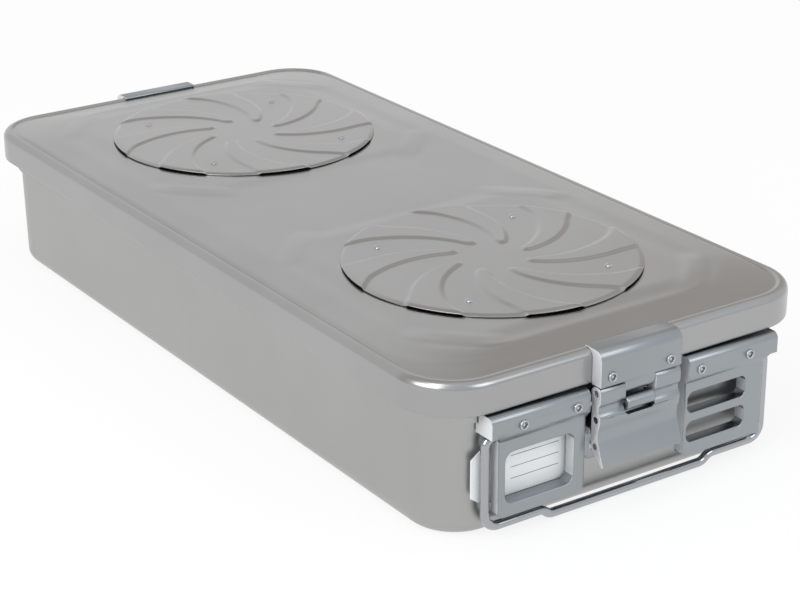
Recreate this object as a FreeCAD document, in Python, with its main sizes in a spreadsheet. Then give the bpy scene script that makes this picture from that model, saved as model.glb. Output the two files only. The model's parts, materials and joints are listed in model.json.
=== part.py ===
import FreeCAD, Part
import math
import os
from types import SimpleNamespace

import Sketcher

# Rigid sterilization container, full-size class: a deep-drawn aluminium pan with a lift-off lid.
# Millimetres. The origin is on the floor under the middle, +Z is up, the long axis lies along Y,
# and the end with the label card faces -Y. The rear end carries the same fittings, turned half round.

SIZES = {
    # Pan
    "base_length": 558.0,
    "base_width": 258.0,
    "base_corner": 32.0,
    "base_sheet": 2.0,
    "wall_draft": 0.0146,
    "bottom_radius": 10.0,
    "foot_height": 12.0,
    "collar_bottom": 73.5,
    "collar_step": 2.5,
    "base_top": 94.5,
    # Lid
    "lid_length": 580.0,
    "lid_width": 280.0,
    "lid_corner": 39.0,
    "lid_sheet": 2.0,
    "skirt_bottom": 81.2,
    "rim_top": 101.7,
    "rim_edge_radius": 5.0,
    "bead_width": 6.0,
    "trough_depth": 1.0,
    "trough_width": 1.2,
    "shoulder_top": 102.4,
    "shoulder_side": 8.5,
    "shoulder_end": 20.0,
    "shoulder_corner": 46.0,
    "plateau_top": 104.0,
    "plateau_side": 28.0,
    "plateau_end": 32.0,
    "plateau_corner": 44.0,
    "gasket_width": 8.0,
    "gasket_gap": 0.3,
    # Pressed square fields with the steam holes
    "field_spacing": 302.0,
    "field_side": 208.0,
    "field_corner": 38.0,
    "field_rise": 0.7,
    "field_slope": 14.0,
    "steam_hole": 8.0,
    "steam_ring_step": 30.0,
    # Round covers with turbine vanes
    "cover_diameter": 188.0,
    "cover_gap": 0.8,
    "cover_sheet": 0.8,
    "vane_rise": 1.0,
    "vane_wall": 0.9,
    "vane_tip": 22.0,
    "vane_twist": 39.0,
    "vane_angle": 20.0,
    "vane_rim_angle": 24.0,
    "cover_rivet_circle": 145.2,
    "cover_rivet_turn": 43.0,
    "cover_rivet_shank": 3.2,
    "cover_rivet_head": 5.6,
    "cover_rivet_dome": 1.4,
    "spacer_diameter": 8.0,
    # Filters, retainers and their quarter-turn locks
    "filter_diameter": 176.0,
    "filter_sheet": 0.6,
    "retainer_diameter": 190.0,
    "retainer_sheet": 1.0,
    "retainer_rim": 4.0,
    "retainer_hole": 14.0,
    "retainer_hole_circle": 118.0,
    "stud_diameter": 6.0,
    "stud_head": 16.0,
    "stud_head_height": 0.5,
    "stud_flange": 10.0,
    "stud_flange_height": 1.5,
    "lock_height": 8.0,
    "lock_hub": 16.0,
    "lock_wing_length": 44.0,
    "lock_wing_width": 5.0,
    "lock_bore_depth": 3.0,
    "lock_fit": 0.05,
    # End plates
    "plate_front": 13.8,
    "plate_sheet": 2.0,
    "plate_half": 98.6,
    "plate_inner": 37.0,
    "plate_bottom": 15.5,
    "plate_bend": 2.5,
    "plate_low_corner": 3.0,
    "plate_inner_corner": 7.0,
    "flange_depth": 8.0,
    "bar_half": 106.0,
    "bar_front": 16.5,
    "bar_top": 80.0,
    "bar_bottom": 67.3,
    "bar_round": 4.0,
    "bar_taper": 4.0,
    "ear_bottom": 60.0,
    "ear_rear": 2.2,
    "window_centre": 69.9,
    "window_height_centre": 39.3,
    "window_width": 48.8,
    "window_height": 32.0,
    "window_corner": 6.0,
    "window_lip": 6.0,
    "lip_sheet": 1.6,
    "slot_centre": 62.0,
    "slot_length": 45.0,
    "slot_height": 13.4,
    "slot_corner": 4.0,
    "slot_upper": 49.8,
    "slot_lower": 30.6,
    "bar_rivet_inner": 46.0,
    "bar_rivet_outer": 84.0,
    "bar_rivet_height": 71.5,
    "rivet_shank": 3.4,
    "rivet_head": 6.4,
    "rivet_head_height": 1.1,
    "rivet_hole": 2.0,
    "rivet_hole_depth": 2.5,
    "rivet_tail": 6.0,
    "rivet_tail_height": 1.5,
    "rivet_tail_gap": 0.1,
    # Label card and its guide
    "card_length": 81.5,
    "card_height": 35.6,
    "card_sheet": 0.8,
    "card_corner": 7.0,
    "card_left": 120.0,
    "card_height_centre": 39.5,
    "card_clearance": 0.5,
    "guide_left": 96.0,
    "guide_sheet": 1.0,
    "guide_back": 2.3,
    "guide_lip": 1.6,
    # Wire handle
    "wire": 5.6,
    "wire_fit": 0.08,
    "pivot_out": 7.2,
    "pivot_height": 64.0,
    "handle_half": 104.0,
    "handle_end": 89.0,
    "handle_top_bend": 5.0,
    "handle_low_bend": 9.0,
    "handle_run_height": 8.3,
    "grip_height": 4.1,
    "grip_half": 55.0,
    "joggle_length": 11.0,
    # Catch on the end wall
    "catch_half": 30.0,
    "catch_top": 72.5,
    "catch_bottom": 28.0,
    "catch_sheet": 2.6,
    "catch_corner": 6.0,
    "catch_nose_top": 53.0,
    "catch_nose_height": 5.0,
    "catch_gap": 0.5,
    "catch_rivet_half": 20.0,
    "catch_rivet_low": 36.0,
    "catch_rivet_high": 63.0,
    "catch_rivet_head_height": 1.4,
    # Bracket over the lid's rim
    "latch_centre": -2.5,
    "bracket_half": 29.8,
    "bracket_front": 8.5,
    "bracket_bottom": 80.6,
    "bracket_rise": 0.9,
    "bracket_round": 6.5,
    "bracket_reach": 7.2,
    "bracket_rear_round": 1.2,
    "bracket_rivet_half": 21.5,
    "bracket_rivet_height": 86.0,
    # Latch
    "latch_half": 29.8,
    "hinge_out": 4.3,
    "hinge_height": 76.0,
    "hinge_knuckle": 4.2,
    "hinge_pin": 3.6,
    "hinge_fit": 0.05,
    "latch_rear": 0.5,
    "latch_valley": 6.5,
    "latch_flat_end": 72.0,
    "latch_valley_upper": 66.0,
    "latch_ridge_height": 60.3,
    "latch_valley_lower": 50.0,
    "latch_flare": 14.0,
    "latch_flare_angle": 21.5,
    "latch_lip_out": 12.5,
    "latch_lip_height": 32.2,
    "latch_lip_sheet": 1.6,
    "window_half": 11.2,
    "latch_window_bottom": 59.2,
    "latch_window_corner": 3.5,
    "tab_half": 10.9,
    "tab_knuckle": 3.6,
    "tab_sheet": 4.6,
    "port_diameter": 4.0,
    "port_height": 59.4,
    "rod_height": 42.8,
    "rod_diameter": 3.6,
    "sleeve_diameter": 8.4,
    "sleeve_drop": 9.5,
    "sleeve_pin": 2.8,
    "sleeve_pin_grip": 7.0,
    "sleeve_gap": 0.4,
}

STEAM_RINGS = (1, 2)
STEAM_HOLES_PER_RING = 6
VANES = 8
VANE_START = 13.0
COVER_RIVETS = 4
RETAINER_HOLES = 8
OVERCUT = 1.0


class Size:
    """A number together with the sheet expression that gives it."""

    def __init__(self, value, text):
        self.value = float(value)
        self.text = text

    def __add__(self, other):
        other = sized(other)
        return Size(self.value + other.value, "(%s + %s)" % (self.text, other.text))

    def __radd__(self, other):
        return sized(other) + self

    def __sub__(self, other):
        other = sized(other)
        return Size(self.value - other.value, "(%s - %s)" % (self.text, other.text))

    def __rsub__(self, other):
        return sized(other) - self

    def __mul__(self, other):
        other = sized(other)
        return Size(self.value * other.value, "(%s * %s)" % (self.text, other.text))

    def __rmul__(self, other):
        return sized(other) * self

    def __truediv__(self, other):
        other = sized(other)
        return Size(self.value / other.value, "(%s / %s)" % (self.text, other.text))

    def __neg__(self):
        return Size(-self.value, "(-1 * %s)" % self.text)


def sized(number):
    """Wraps a plain number."""
    if isinstance(number, Size):
        return number
    return Size(number, "(%s)" % repr(float(number)))


def turned(radius, degrees):
    """The point at a radius and an angle."""
    radius = sized(radius)
    degrees = sized(degrees)
    angle = math.radians(degrees.value)
    across = Size(radius.value * math.cos(angle), "(%s * cos(%s * 1deg))" % (radius.text, degrees.text))
    along = Size(radius.value * math.sin(angle), "(%s * sin(%s * 1deg))" % (radius.text, degrees.text))
    return across, along


document = FreeCAD.newDocument("SterilizationContainer")
sheet = document.addObject("Spreadsheet::Sheet", "Sizes")
for row, (name, number) in enumerate(SIZES.items(), start=1):
    sheet.set("A%d" % row, name.replace("_", " "))
    sheet.set("B%d" % row, str(number))
    sheet.setAlias("B%d" % row, name)
document.recompute()
d = SimpleNamespace(**{name: Size(number, "Sizes." + name) for name, number in SIZES.items()})

sub_parts = []
HALF_TURN = FreeCAD.Placement(FreeCAD.Vector(), FreeCAD.Rotation(FreeCAD.Vector(0, 0, 1), 180))


def new_body(name, rear=False):
    """A sub-part with its own label. Rear ones are built at the front and turned half round."""
    body = document.addObject("PartDesign::Body", name)
    body.Label = name
    body.AllowCompound = True
    if rear:
        body.Placement = HALF_TURN
    sub_parts.append(body)
    return body


def bind(thing, path, size):
    """Ties a property to the sheet."""
    thing.setExpression(path, sized(size).text)


def new_sketch(body, name, plane, across=0.0, up=0.0, out=0.0):
    """A sketch on one of the body's own planes, moved in the plane and out along its normal."""
    sketch = body.newObject("Sketcher::SketchObject", body.Name + "_" + name)
    support = [feature for feature in body.Origin.OriginFeatures if feature.Role == plane][0]
    sketch.AttachmentSupport = [(support, "")]
    sketch.MapMode = "FlatFace"
    for letter, size in (("x", across), ("y", up), ("z", out)):
        bind(sketch, "AttachmentOffset.Base." + letter, size)
    return sketch


def fix_point(sketch, found, geometry, position, x, y):
    """Collects the two constraints that place a point, with the sizes that drive them."""
    x = sized(x)
    y = sized(y)
    found.append((Sketcher.Constraint("DistanceX", -1, 1, geometry, position, x.value), x))
    found.append((Sketcher.Constraint("DistanceY", -1, 1, geometry, position, y.value), y))


def constrain(sketch, found):
    """Adds the collected constraints and ties each dimension to the sheet."""
    first = sketch.ConstraintCount
    sketch.addConstraint([constraint for constraint, size in found])
    for index, (constraint, size) in enumerate(found, start=first):
        if size is not None and "Sizes." in size.text:
            sketch.setExpression("Constraints[%d]" % index, size.text)


def add_outline(sketch, points, closed=True):
    """Adds a chain of lines and arcs. A point is (x, y), or (x, y, radius) where an arc follows it;
    a positive radius turns left and a negative one turns right."""
    points = [tuple(sized(value) for value in point) for point in points]
    last = len(points) if closed else len(points) - 1
    first = sketch.GeometryCount
    shapes = []
    ends = []
    found = []
    for index in range(last):
        start = points[index]
        finish = points[(index + 1) % len(points)]
        p = FreeCAD.Vector(start[0].value, start[1].value, 0)
        q = FreeCAD.Vector(finish[0].value, finish[1].value, 0)
        if len(start) == 2:
            shapes.append(Part.LineSegment(p, q))
            ends.append((1, 2))
            continue
        radius = start[2].value
        chord = q - p
        left = FreeCAD.Vector(-chord.y, chord.x, 0).normalize()
        sagitta = abs(radius) - math.sqrt(max(radius * radius - chord.Length ** 2 / 4, 0.0))
        middle = (p + q) * 0.5 - left * (math.copysign(sagitta, radius))
        if radius > 0:
            shapes.append(Part.Arc(p, middle, q))
            ends.append((1, 2))
        else:
            shapes.append(Part.Arc(q, middle, p))
            ends.append((2, 1))
        size = start[2] if radius > 0 else -start[2]
        found.append((Sketcher.Constraint("Radius", first + index, abs(radius)), size))
    sketch.addGeometry(shapes, False)
    for index in range(last):
        fix_point(sketch, found, first + index, ends[index][0], points[index][0], points[index][1])
        if closed or index + 1 < last:
            following = (index + 1) % last
            found.append((Sketcher.Constraint("Coincident", first + index, ends[index][1],
                                              first + following, ends[following][0]), None))
        else:
            fix_point(sketch, found, first + index, ends[index][1], points[-1][0], points[-1][1])
    constrain(sketch, found)
    return sketch


def add_circle(sketch, x, y, diameter):
    """Adds a placed circle."""
    geometry = sketch.GeometryCount
    radius = sized(diameter) / 2
    centre = FreeCAD.Vector(sized(x).value, sized(y).value, 0)
    sketch.addGeometry([Part.Circle(centre, FreeCAD.Vector(0, 0, 1), radius.value)], False)
    found = [(Sketcher.Constraint("Radius", geometry, radius.value), radius)]
    fix_point(sketch, found, geometry, 3, x, y)
    constrain(sketch, found)
    return sketch


def rounded_rectangle(half_x, half_y, radius, x=0.0, y=0.0):
    """The eight points of a rectangle with round corners."""
    x = sized(x)
    y = sized(y)
    return [
        (x + half_x, y - half_y + radius),
        (x + half_x, y + half_y - radius, radius),
        (x + half_x - radius, y + half_y),
        (x - half_x + radius, y + half_y, radius),
        (x - half_x, y + half_y - radius),
        (x - half_x, y - half_y + radius, radius),
        (x - half_x + radius, y - half_y),
        (x + half_x - radius, y - half_y, radius),
    ]


def pad(body, name, sketch, length):
    """Extrudes a sketch along its normal."""
    feature = body.newObject("PartDesign::Pad", body.Name + "_" + name)
    feature.Profile = sketch
    bind(feature, "Length", length)
    body.Tip = feature
    document.recompute()
    return feature


def pocket(body, name, sketch, length):
    """Cuts along the sketch's normal and makes sure that something was cut."""
    document.recompute()
    before = body.Shape.Volume
    feature = body.newObject("PartDesign::Pocket", body.Name + "_" + name)
    feature.Profile = sketch
    feature.Reversed = True
    bind(feature, "Length", length)
    body.Tip = feature
    document.recompute()
    if feature.Shape.Volume >= before:
        raise RuntimeError(feature.Name + " cuts nothing")
    return feature


def loft(body, name, kind, sketches):
    """A ruled loft through its sections: kind is Additive or Subtractive."""
    feature = body.newObject("PartDesign::%sLoft" % kind, body.Name + "_" + name)
    feature.Profile = sketches[0]
    feature.Sections = sketches[1:]
    feature.Ruled = True
    body.Tip = feature
    document.recompute()
    return feature


def revolve(body, name, sketch, axis):
    """A full turn about one of the sketch's own axes."""
    feature = body.newObject("PartDesign::Revolution", body.Name + "_" + name)
    feature.Profile = sketch
    feature.ReferenceAxis = (sketch, [axis])
    feature.Angle = 360
    body.Tip = feature
    document.recompute()
    return feature


def round_pattern(body, name, feature, sketch, count):
    """Repeats a feature about the normal through its sketch's origin."""
    pattern = body.newObject("PartDesign::PolarPattern", body.Name + "_" + name)
    pattern.Originals = [feature]
    pattern.Axis = (sketch, ["N_Axis"])
    pattern.Angle = 360
    pattern.Occurrences = count
    body.Tip = pattern
    document.recompute()
    return pattern


def fillet(body, name, feature, radius, chosen):
    """Rounds the edges that the test picks."""
    names = ["Edge%d" % number for number, edge in enumerate(feature.Shape.Edges, start=1) if chosen(edge)]
    if not names:
        raise RuntimeError(body.Name + " has no edge for " + name)
    rounding = body.newObject("PartDesign::Fillet", body.Name + "_" + name)
    rounding.Base = (feature, names)
    bind(rounding, "Radius", radius)
    body.Tip = rounding
    document.recompute()
    return rounding


def near(first, second):
    return abs(first - second) < 0.01


# Places that several sub-parts share

half_base_x = d.base_width / 2
half_base_y = d.base_length / 2
half_lid_x = d.lid_width / 2
half_lid_y = d.lid_length / 2
collar_growth = d.collar_bottom * d.wall_draft
half_collar_x = half_base_x + collar_growth + d.collar_step
half_collar_y = half_base_y + collar_growth + d.collar_step
collar_corner = d.base_corner + collar_growth + d.collar_step
lid_inside_top = d.rim_top - d.trough_depth - d.lid_sheet
plateau_underside = d.plateau_top - d.lid_sheet
field_top = d.plateau_top + d.field_rise
field_underside = field_top - d.lid_sheet
field_centres = (-1 * d.field_spacing / 2, d.field_spacing / 2)
cover_bottom = field_top + d.cover_gap
cover_top = cover_bottom + d.cover_sheet
filter_bottom = field_underside - d.filter_sheet
retainer_bottom = filter_bottom - d.retainer_sheet
plate_face = half_base_y + d.plate_front
plate_back = plate_face - d.plate_sheet
bar_face = half_base_y + d.bar_front
flange_back = plate_face - d.flange_depth
pivot_y = half_base_y + d.pivot_out
card_back = half_base_y + d.guide_back + d.card_clearance
card_face = card_back + d.card_sheet
card_low = d.card_height_centre - d.card_height / 2
card_high = d.card_height_centre + d.card_height / 2
bracket_face = half_lid_y + d.bracket_front
hinge_y = half_lid_y + d.hinge_out
latch_back = half_lid_y + d.latch_rear
latch_ridge = hinge_y + d.hinge_knuckle
ENDS = (("front", False), ("rear", True))


def wall_y(height):
    """Where the drafted end wall's outside stands at a height, as a distance from the middle."""
    return half_base_y + sized(height) * d.wall_draft


def drafted_outline(inset, height):
    """The pan wall's outline at a height, inset from the outside."""
    growth = sized(height) * d.wall_draft - inset
    return rounded_rectangle(half_base_x + growth, half_base_y + growth, d.base_corner + growth)


# Pan


def end_wall_holes(body, name, out, places):
    """Drills the end wall for rivets, along -Y from a plane."""
    sketch = new_sketch(body, name, "XZ_Plane", out=out)
    for x, z in places:
        add_circle(sketch, x, z, d.rivet_shank)
    return pocket(body, name + "_cut", sketch, d.collar_step * 8)


def bar_rivet_places():
    return [(side * distance, d.bar_rivet_height)
            for side in (-1, 1) for distance in (d.bar_rivet_inner, d.bar_rivet_outer)]


def catch_rivet_places():
    return [(d.latch_centre + side * d.catch_rivet_half, height)
            for side in (-1, 1) for height in (d.catch_rivet_low, d.catch_rivet_high)]


def build_base_pan():
    """The deep-drawn pan: drafted walls, a stepped collar under the lid and a round bottom edge."""
    body = new_body("base_pan")
    foot = add_outline(new_sketch(body, "foot", "XY_Plane"), drafted_outline(0, d.foot_height))
    pad(body, "foot_pad", foot, d.foot_height)
    waist = add_outline(new_sketch(body, "waist", "XY_Plane", out=d.foot_height),
                        drafted_outline(0, d.foot_height))
    shoulder = add_outline(new_sketch(body, "shoulder", "XY_Plane", out=d.collar_bottom),
                           drafted_outline(0, d.collar_bottom))
    loft(body, "wall", "Additive", [waist, shoulder])
    collar = add_outline(new_sketch(body, "collar", "XY_Plane", out=d.collar_bottom),
                         rounded_rectangle(half_collar_x, half_collar_y, collar_corner))
    pad(body, "collar_pad", collar, d.base_top - d.collar_bottom)
    collar_floor = d.collar_bottom + d.base_sheet
    floor = add_outline(new_sketch(body, "floor", "XY_Plane", out=d.base_sheet),
                        drafted_outline(d.base_sheet, d.foot_height))
    well = pocket(body, "floor_cut", floor, d.base_top)
    hollowed = fillet(body, "inside_edge", well, d.bottom_radius - d.base_sheet,
                      lambda edge: all(near(vertex.Z, d.base_sheet.value) for vertex in edge.Vertexes))
    fillet(body, "bottom_edge", hollowed, d.bottom_radius,
           lambda edge: all(near(vertex.Z, 0) for vertex in edge.Vertexes))
    narrow = add_outline(new_sketch(body, "narrow", "XY_Plane", out=d.foot_height),
                         drafted_outline(d.base_sheet, d.foot_height))
    brim = add_outline(new_sketch(body, "brim", "XY_Plane", out=collar_floor),
                       drafted_outline(d.base_sheet, collar_floor))
    loft(body, "hollow", "Subtractive", [narrow, brim])
    mouth = add_outline(new_sketch(body, "mouth", "XY_Plane", out=collar_floor),
                        rounded_rectangle(half_collar_x - d.base_sheet, half_collar_y - d.base_sheet,
                                          collar_corner - d.base_sheet))
    pocket(body, "mouth_cut", mouth, d.base_top)
    places = bar_rivet_places() + catch_rivet_places()
    end_wall_holes(body, "front_holes", half_base_y - d.bottom_radius, places)
    end_wall_holes(body, "rear_holes", -1 * (half_base_y + d.bottom_radius), [(-x, z) for x, z in places])


# End plates


def end_plate(name, side, rear):
    """One half of the end fitting: a thick top bar, a face sheet and two side flanges.
    Side -1 is left of the latch and 1 is right of it."""
    body = new_body(name, rear)
    bar_left = -1 * d.bar_half if side < 0 else d.plate_inner
    width = d.bar_half - d.plate_inner
    profile = [
        (-wall_y(d.bar_bottom), d.bar_bottom),
        (-wall_y(d.collar_bottom), d.collar_bottom),
        (-half_collar_y, d.collar_bottom),
        (-half_collar_y, d.bar_top),
        (-bar_face + d.bar_round, d.bar_top, d.bar_round),
        (-bar_face, d.bar_top - d.bar_round),
        (-bar_face, d.bar_bottom),
        (-plate_face, d.bar_bottom - d.bar_taper),
        (-plate_face, d.plate_bottom),
        (-plate_back, d.plate_bottom),
        (-plate_back, d.bar_bottom),
    ]
    section = add_outline(new_sketch(body, "section", "YZ_Plane", out=bar_left), profile)
    pad(body, "sheet", section, width)
    overhang = add_outline(new_sketch(body, "overhang", "XZ_Plane", out=half_base_y), [
        (side * (d.bar_half + OVERCUT), d.plate_bottom - OVERCUT),
        (side * d.plate_half, d.plate_bottom - OVERCUT),
        (side * d.plate_half, d.bar_bottom - d.bar_taper),
        (side * (d.plate_half + d.plate_sheet), d.bar_bottom),
        (side * (d.bar_half + OVERCUT), d.bar_bottom),
    ])
    pocket(body, "overhang_cut", overhang, d.bar_front + OVERCUT)
    outer = -1 * d.plate_half if side < 0 else d.plate_half - d.plate_sheet
    ear = add_outline(new_sketch(body, "outer_flange", "YZ_Plane", out=outer), [
        (-plate_back, d.plate_bottom),
        (-flange_back, d.plate_bottom),
        (-flange_back, d.ear_bottom),
        (-(half_base_y + d.ear_rear), d.ear_bottom),
        (-(half_base_y + d.ear_rear), d.bar_bottom),
        (-plate_back, d.bar_bottom),
    ])
    pad(body, "outer_flange_pad", ear, d.plate_sheet)
    inner = side * d.plate_inner if side > 0 else side * d.plate_inner - d.plate_sheet
    flange = add_outline(new_sketch(body, "inner_flange", "YZ_Plane", out=inner), [
        (-plate_back, d.plate_bottom),
        (-flange_back, d.plate_bottom),
        (-flange_back, d.bar_bottom),
        (-plate_back, d.bar_bottom),
    ])
    pad(body, "inner_flange_pad", flange, d.plate_sheet)
    cut_bend(body, "outer_bend", side * d.plate_half, -side)
    cut_bend(body, "inner_bend", side * d.plate_inner, side)
    cut_low_corner(body, "outer_corner", side * d.plate_half, -side, d.plate_low_corner)
    cut_low_corner(body, "inner_corner", side * d.plate_inner, side,
                   d.plate_inner_corner if side < 0 else d.plate_low_corner)
    bore = add_circle(new_sketch(body, "handle_bore", "YZ_Plane", out=outer - OVERCUT),
                      -pivot_y, d.pivot_height, d.wire + 2 * d.wire_fit)
    pocket(body, "handle_bore_cut", bore, d.plate_sheet + 2 * OVERCUT)
    holes = new_sketch(body, "rivet_holes", "XZ_Plane", out=half_base_y - OVERCUT)
    for distance in (d.bar_rivet_inner, d.bar_rivet_outer):
        add_circle(holes, side * distance, d.bar_rivet_height, d.rivet_shank)
    pocket(body, "rivet_holes_cut", holes, d.bar_front + 2 * OVERCUT)
    return body


def cut_bend(body, name, x, inwards):
    """Rounds the bend between the face sheet and a side flange."""
    sketch = new_sketch(body, name, "XY_Plane", out=d.plate_bottom - OVERCUT)
    add_outline(sketch, [
        (x - inwards * OVERCUT, -plate_face - OVERCUT),
        (x + inwards * d.plate_bend, -plate_face - OVERCUT),
        (x + inwards * d.plate_bend, -plate_face, -inwards * d.plate_bend),
        (x, -plate_face + d.plate_bend),
        (x - inwards * OVERCUT, -plate_face + d.plate_bend),
    ])
    return pocket(body, name + "_cut", sketch, d.bar_bottom - d.bar_taper - d.plate_bottom + OVERCUT)


def cut_low_corner(body, name, x, inwards, radius):
    """Rounds a lower corner of the plate, seen from the front."""
    sketch = new_sketch(body, name, "XZ_Plane", out=half_base_y - OVERCUT)
    add_outline(sketch, [
        (x - inwards * OVERCUT, d.plate_bottom - OVERCUT),
        (x + inwards * radius, d.plate_bottom - OVERCUT),
        (x + inwards * radius, d.plate_bottom, -inwards * radius),
        (x, d.plate_bottom + radius),
        (x - inwards * OVERCUT, d.plate_bottom + radius),
    ])
    return pocket(body, name + "_cut", sketch, d.plate_front + 2 * OVERCUT)


def lipped_opening(body, name, x, z, length, height, corner):
    """A rounded opening through the face sheet with a lip turned inwards around it."""
    lip = add_outline(new_sketch(body, name + "_lip", "XZ_Plane", out=plate_back - d.window_lip),
                      rounded_rectangle(length / 2 + d.lip_sheet, height / 2 + d.lip_sheet,
                                        corner + d.lip_sheet, x, z))
    pad(body, name + "_lip_pad", lip, d.window_lip + d.plate_sheet / 2)
    opening = add_outline(new_sketch(body, name, "XZ_Plane", out=plate_back - d.window_lip - OVERCUT),
                          rounded_rectangle(length / 2, height / 2, corner, x, z))
    return pocket(body, name + "_cut", opening, d.window_lip + d.plate_sheet + 2 * OVERCUT)


def round_front_rim(body, name, feature, low, high):
    """Rounds the front rim of the openings between two heights."""
    rim = d.plate_sheet / 2
    return fillet(body, name, feature, rim, lambda edge: all(
        near(vertex.Y, -plate_face.value) and low < vertex.Z < high for vertex in edge.Vertexes)
        and all(d.plate_inner.value + d.plate_bend.value + 0.5 < abs(vertex.X)
                < d.plate_half.value - d.plate_bend.value - 0.5 for vertex in edge.Vertexes))


def build_label_plates():
    """Left halves of the end fittings, with the window for the label card."""
    for end, rear in ENDS:
        body = end_plate("label_plate_" + end, -1, rear)
        cut = lipped_opening(body, "window", -d.window_centre, d.window_height_centre,
                             d.window_width, d.window_height, d.window_corner)
        round_front_rim(body, "window_rim", cut, d.plate_bottom.value + OVERCUT,
                        d.window_height_centre.value + d.window_height.value)


def build_slot_plates():
    """Right halves of the end fittings, with two finger slots."""
    for end, rear in ENDS:
        body = end_plate("slot_plate_" + end, 1, rear)
        for name, height in (("upper", d.slot_upper), ("lower", d.slot_lower)):
            cut = lipped_opening(body, name, d.slot_centre, height, d.slot_length, d.slot_height,
                                 d.slot_corner)
        round_front_rim(body, "slot_rims", cut, d.plate_bottom.value + OVERCUT,
                        d.slot_upper.value + d.slot_height.value)


# Rivets


def flat_rivets(body, places, face, seat):
    """Hollow-headed rivets along Y: the head lies on a face and the tail is set on the far side."""
    length = face - seat + d.rivet_tail_gap
    for number, (x, z) in enumerate(places, start=1):
        sketch = new_sketch(body, "rivet%d" % number, "YZ_Plane", across=-face, up=z, out=x)
        add_outline(sketch, [
            (d.rivet_hole_depth - d.rivet_head_height, 0),
            (length + d.rivet_tail_height, 0),
            (length + d.rivet_tail_height, d.rivet_tail / 2),
            (length, d.rivet_tail / 2),
            (length, d.rivet_shank / 2),
            (0, d.rivet_shank / 2),
            (0, d.rivet_head / 2),
            (-d.rivet_head_height, d.rivet_hole),
            (-d.rivet_head_height, d.rivet_hole / 2),
            (d.rivet_hole_depth - d.rivet_head_height, d.rivet_hole / 2),
        ])
        revolve(body, "rivet%d_turn" % number, sketch, "H_Axis")


def build_end_rivets():
    """Rivets of the end fittings, from the bar's face into the pan."""
    for end, rear in ENDS:
        body = new_body("end_rivets_" + end, rear)
        flat_rivets(body, bar_rivet_places(), bar_face, wall_y(d.bar_rivet_height) - d.base_sheet)


# Catch for the latch's lip, on the end wall


def build_catches():
    """A pressed catch strip: it follows the wall and has one rounded nose for the latch."""
    for end, rear in ENDS:
        body = new_body("catch_" + end, rear)
        face = half_base_y + d.catch_sheet
        nose = latch_back - d.catch_gap
        nose_round = d.catch_nose_height / 2
        section = add_outline(new_sketch(body, "section", "YZ_Plane", out=d.latch_centre - d.catch_half), [
            (-wall_y(d.catch_bottom), d.catch_bottom),
            (-wall_y(d.catch_top), d.catch_top),
            (-face, d.catch_top),
            (-face, d.catch_nose_top),
            (-nose + nose_round, d.catch_nose_top, nose_round),
            (-nose, d.catch_nose_top - nose_round, nose_round),
            (-nose + nose_round, d.catch_nose_top - d.catch_nose_height),
            (-face, d.catch_nose_top - d.catch_nose_height),
            (-face, d.catch_bottom),
        ])
        pad(body, "strip", section, 2 * d.catch_half)
        for side in (-1, 1):
            corner = add_outline(new_sketch(body, "corner%d" % (side + 1), "XZ_Plane", across=d.latch_centre,
                                            out=half_base_y - OVERCUT), [
                (side * (d.catch_half + OVERCUT), d.catch_bottom - OVERCUT),
                (side * (d.catch_half + OVERCUT), d.catch_bottom + d.catch_corner + OVERCUT),
                (side * (d.catch_half - d.catch_corner - OVERCUT), d.catch_bottom - OVERCUT),
            ])
            pocket(body, "corner_cut%d" % (side + 1), corner, d.pivot_out)
        holes = new_sketch(body, "rivet_holes", "XZ_Plane", out=half_base_y - OVERCUT)
        for x, z in catch_rivet_places():
            add_circle(holes, x, z, d.rivet_shank)
        pocket(body, "rivet_holes_cut", holes, d.pivot_out)


def build_catch_rivets():
    """Low rivets that hold the catch strip to the pan."""
    for end, rear in ENDS:
        body = new_body("catch_rivets_" + end, rear)
        for number, (x, z) in enumerate(catch_rivet_places(), start=1):
            face = half_base_y + d.catch_sheet
            length = face - wall_y(z) + d.base_sheet + d.rivet_tail_gap
            sketch = new_sketch(body, "rivet%d" % number, "YZ_Plane", across=-face, up=z, out=x)
            add_outline(sketch, [
                (-d.catch_rivet_head_height, 0),
                (length + d.rivet_tail_height, 0),
                (length + d.rivet_tail_height, d.rivet_tail / 2),
                (length, d.rivet_tail / 2),
                (length, d.rivet_shank / 2),
                (0, d.rivet_shank / 2),
                (0, d.rivet_head / 2),
                (-d.catch_rivet_head_height, d.rivet_shank / 2),
            ])
            revolve(body, "rivet%d_turn" % number, sketch, "H_Axis")


# Label card and its guide


def build_card_guide():
    """A folded tray on the end wall: its lips hold the card's long edges."""
    body = new_body("card_guide")
    tray = half_base_y + d.guide_back
    lip_out = card_face + d.card_clearance
    low = card_low - d.card_clearance
    high = card_high + d.card_clearance
    section = add_outline(new_sketch(body, "section", "YZ_Plane", out=-d.guide_left), [
        (-wall_y(low - d.guide_sheet), low - d.guide_sheet),
        (-wall_y(high + d.guide_sheet), high + d.guide_sheet),
        (-lip_out - d.guide_sheet, high + d.guide_sheet),
        (-lip_out - d.guide_sheet, high - d.guide_lip),
        (-lip_out, high - d.guide_lip),
        (-lip_out, high),
        (-tray, high),
        (-tray, low),
        (-lip_out, low),
        (-lip_out, low + d.guide_lip),
        (-lip_out - d.guide_sheet, low + d.guide_lip),
        (-lip_out - d.guide_sheet, low - d.guide_sheet),
    ])
    pad(body, "tray", section, d.guide_left - d.plate_inner - d.plate_sheet - OVERCUT)


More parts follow.
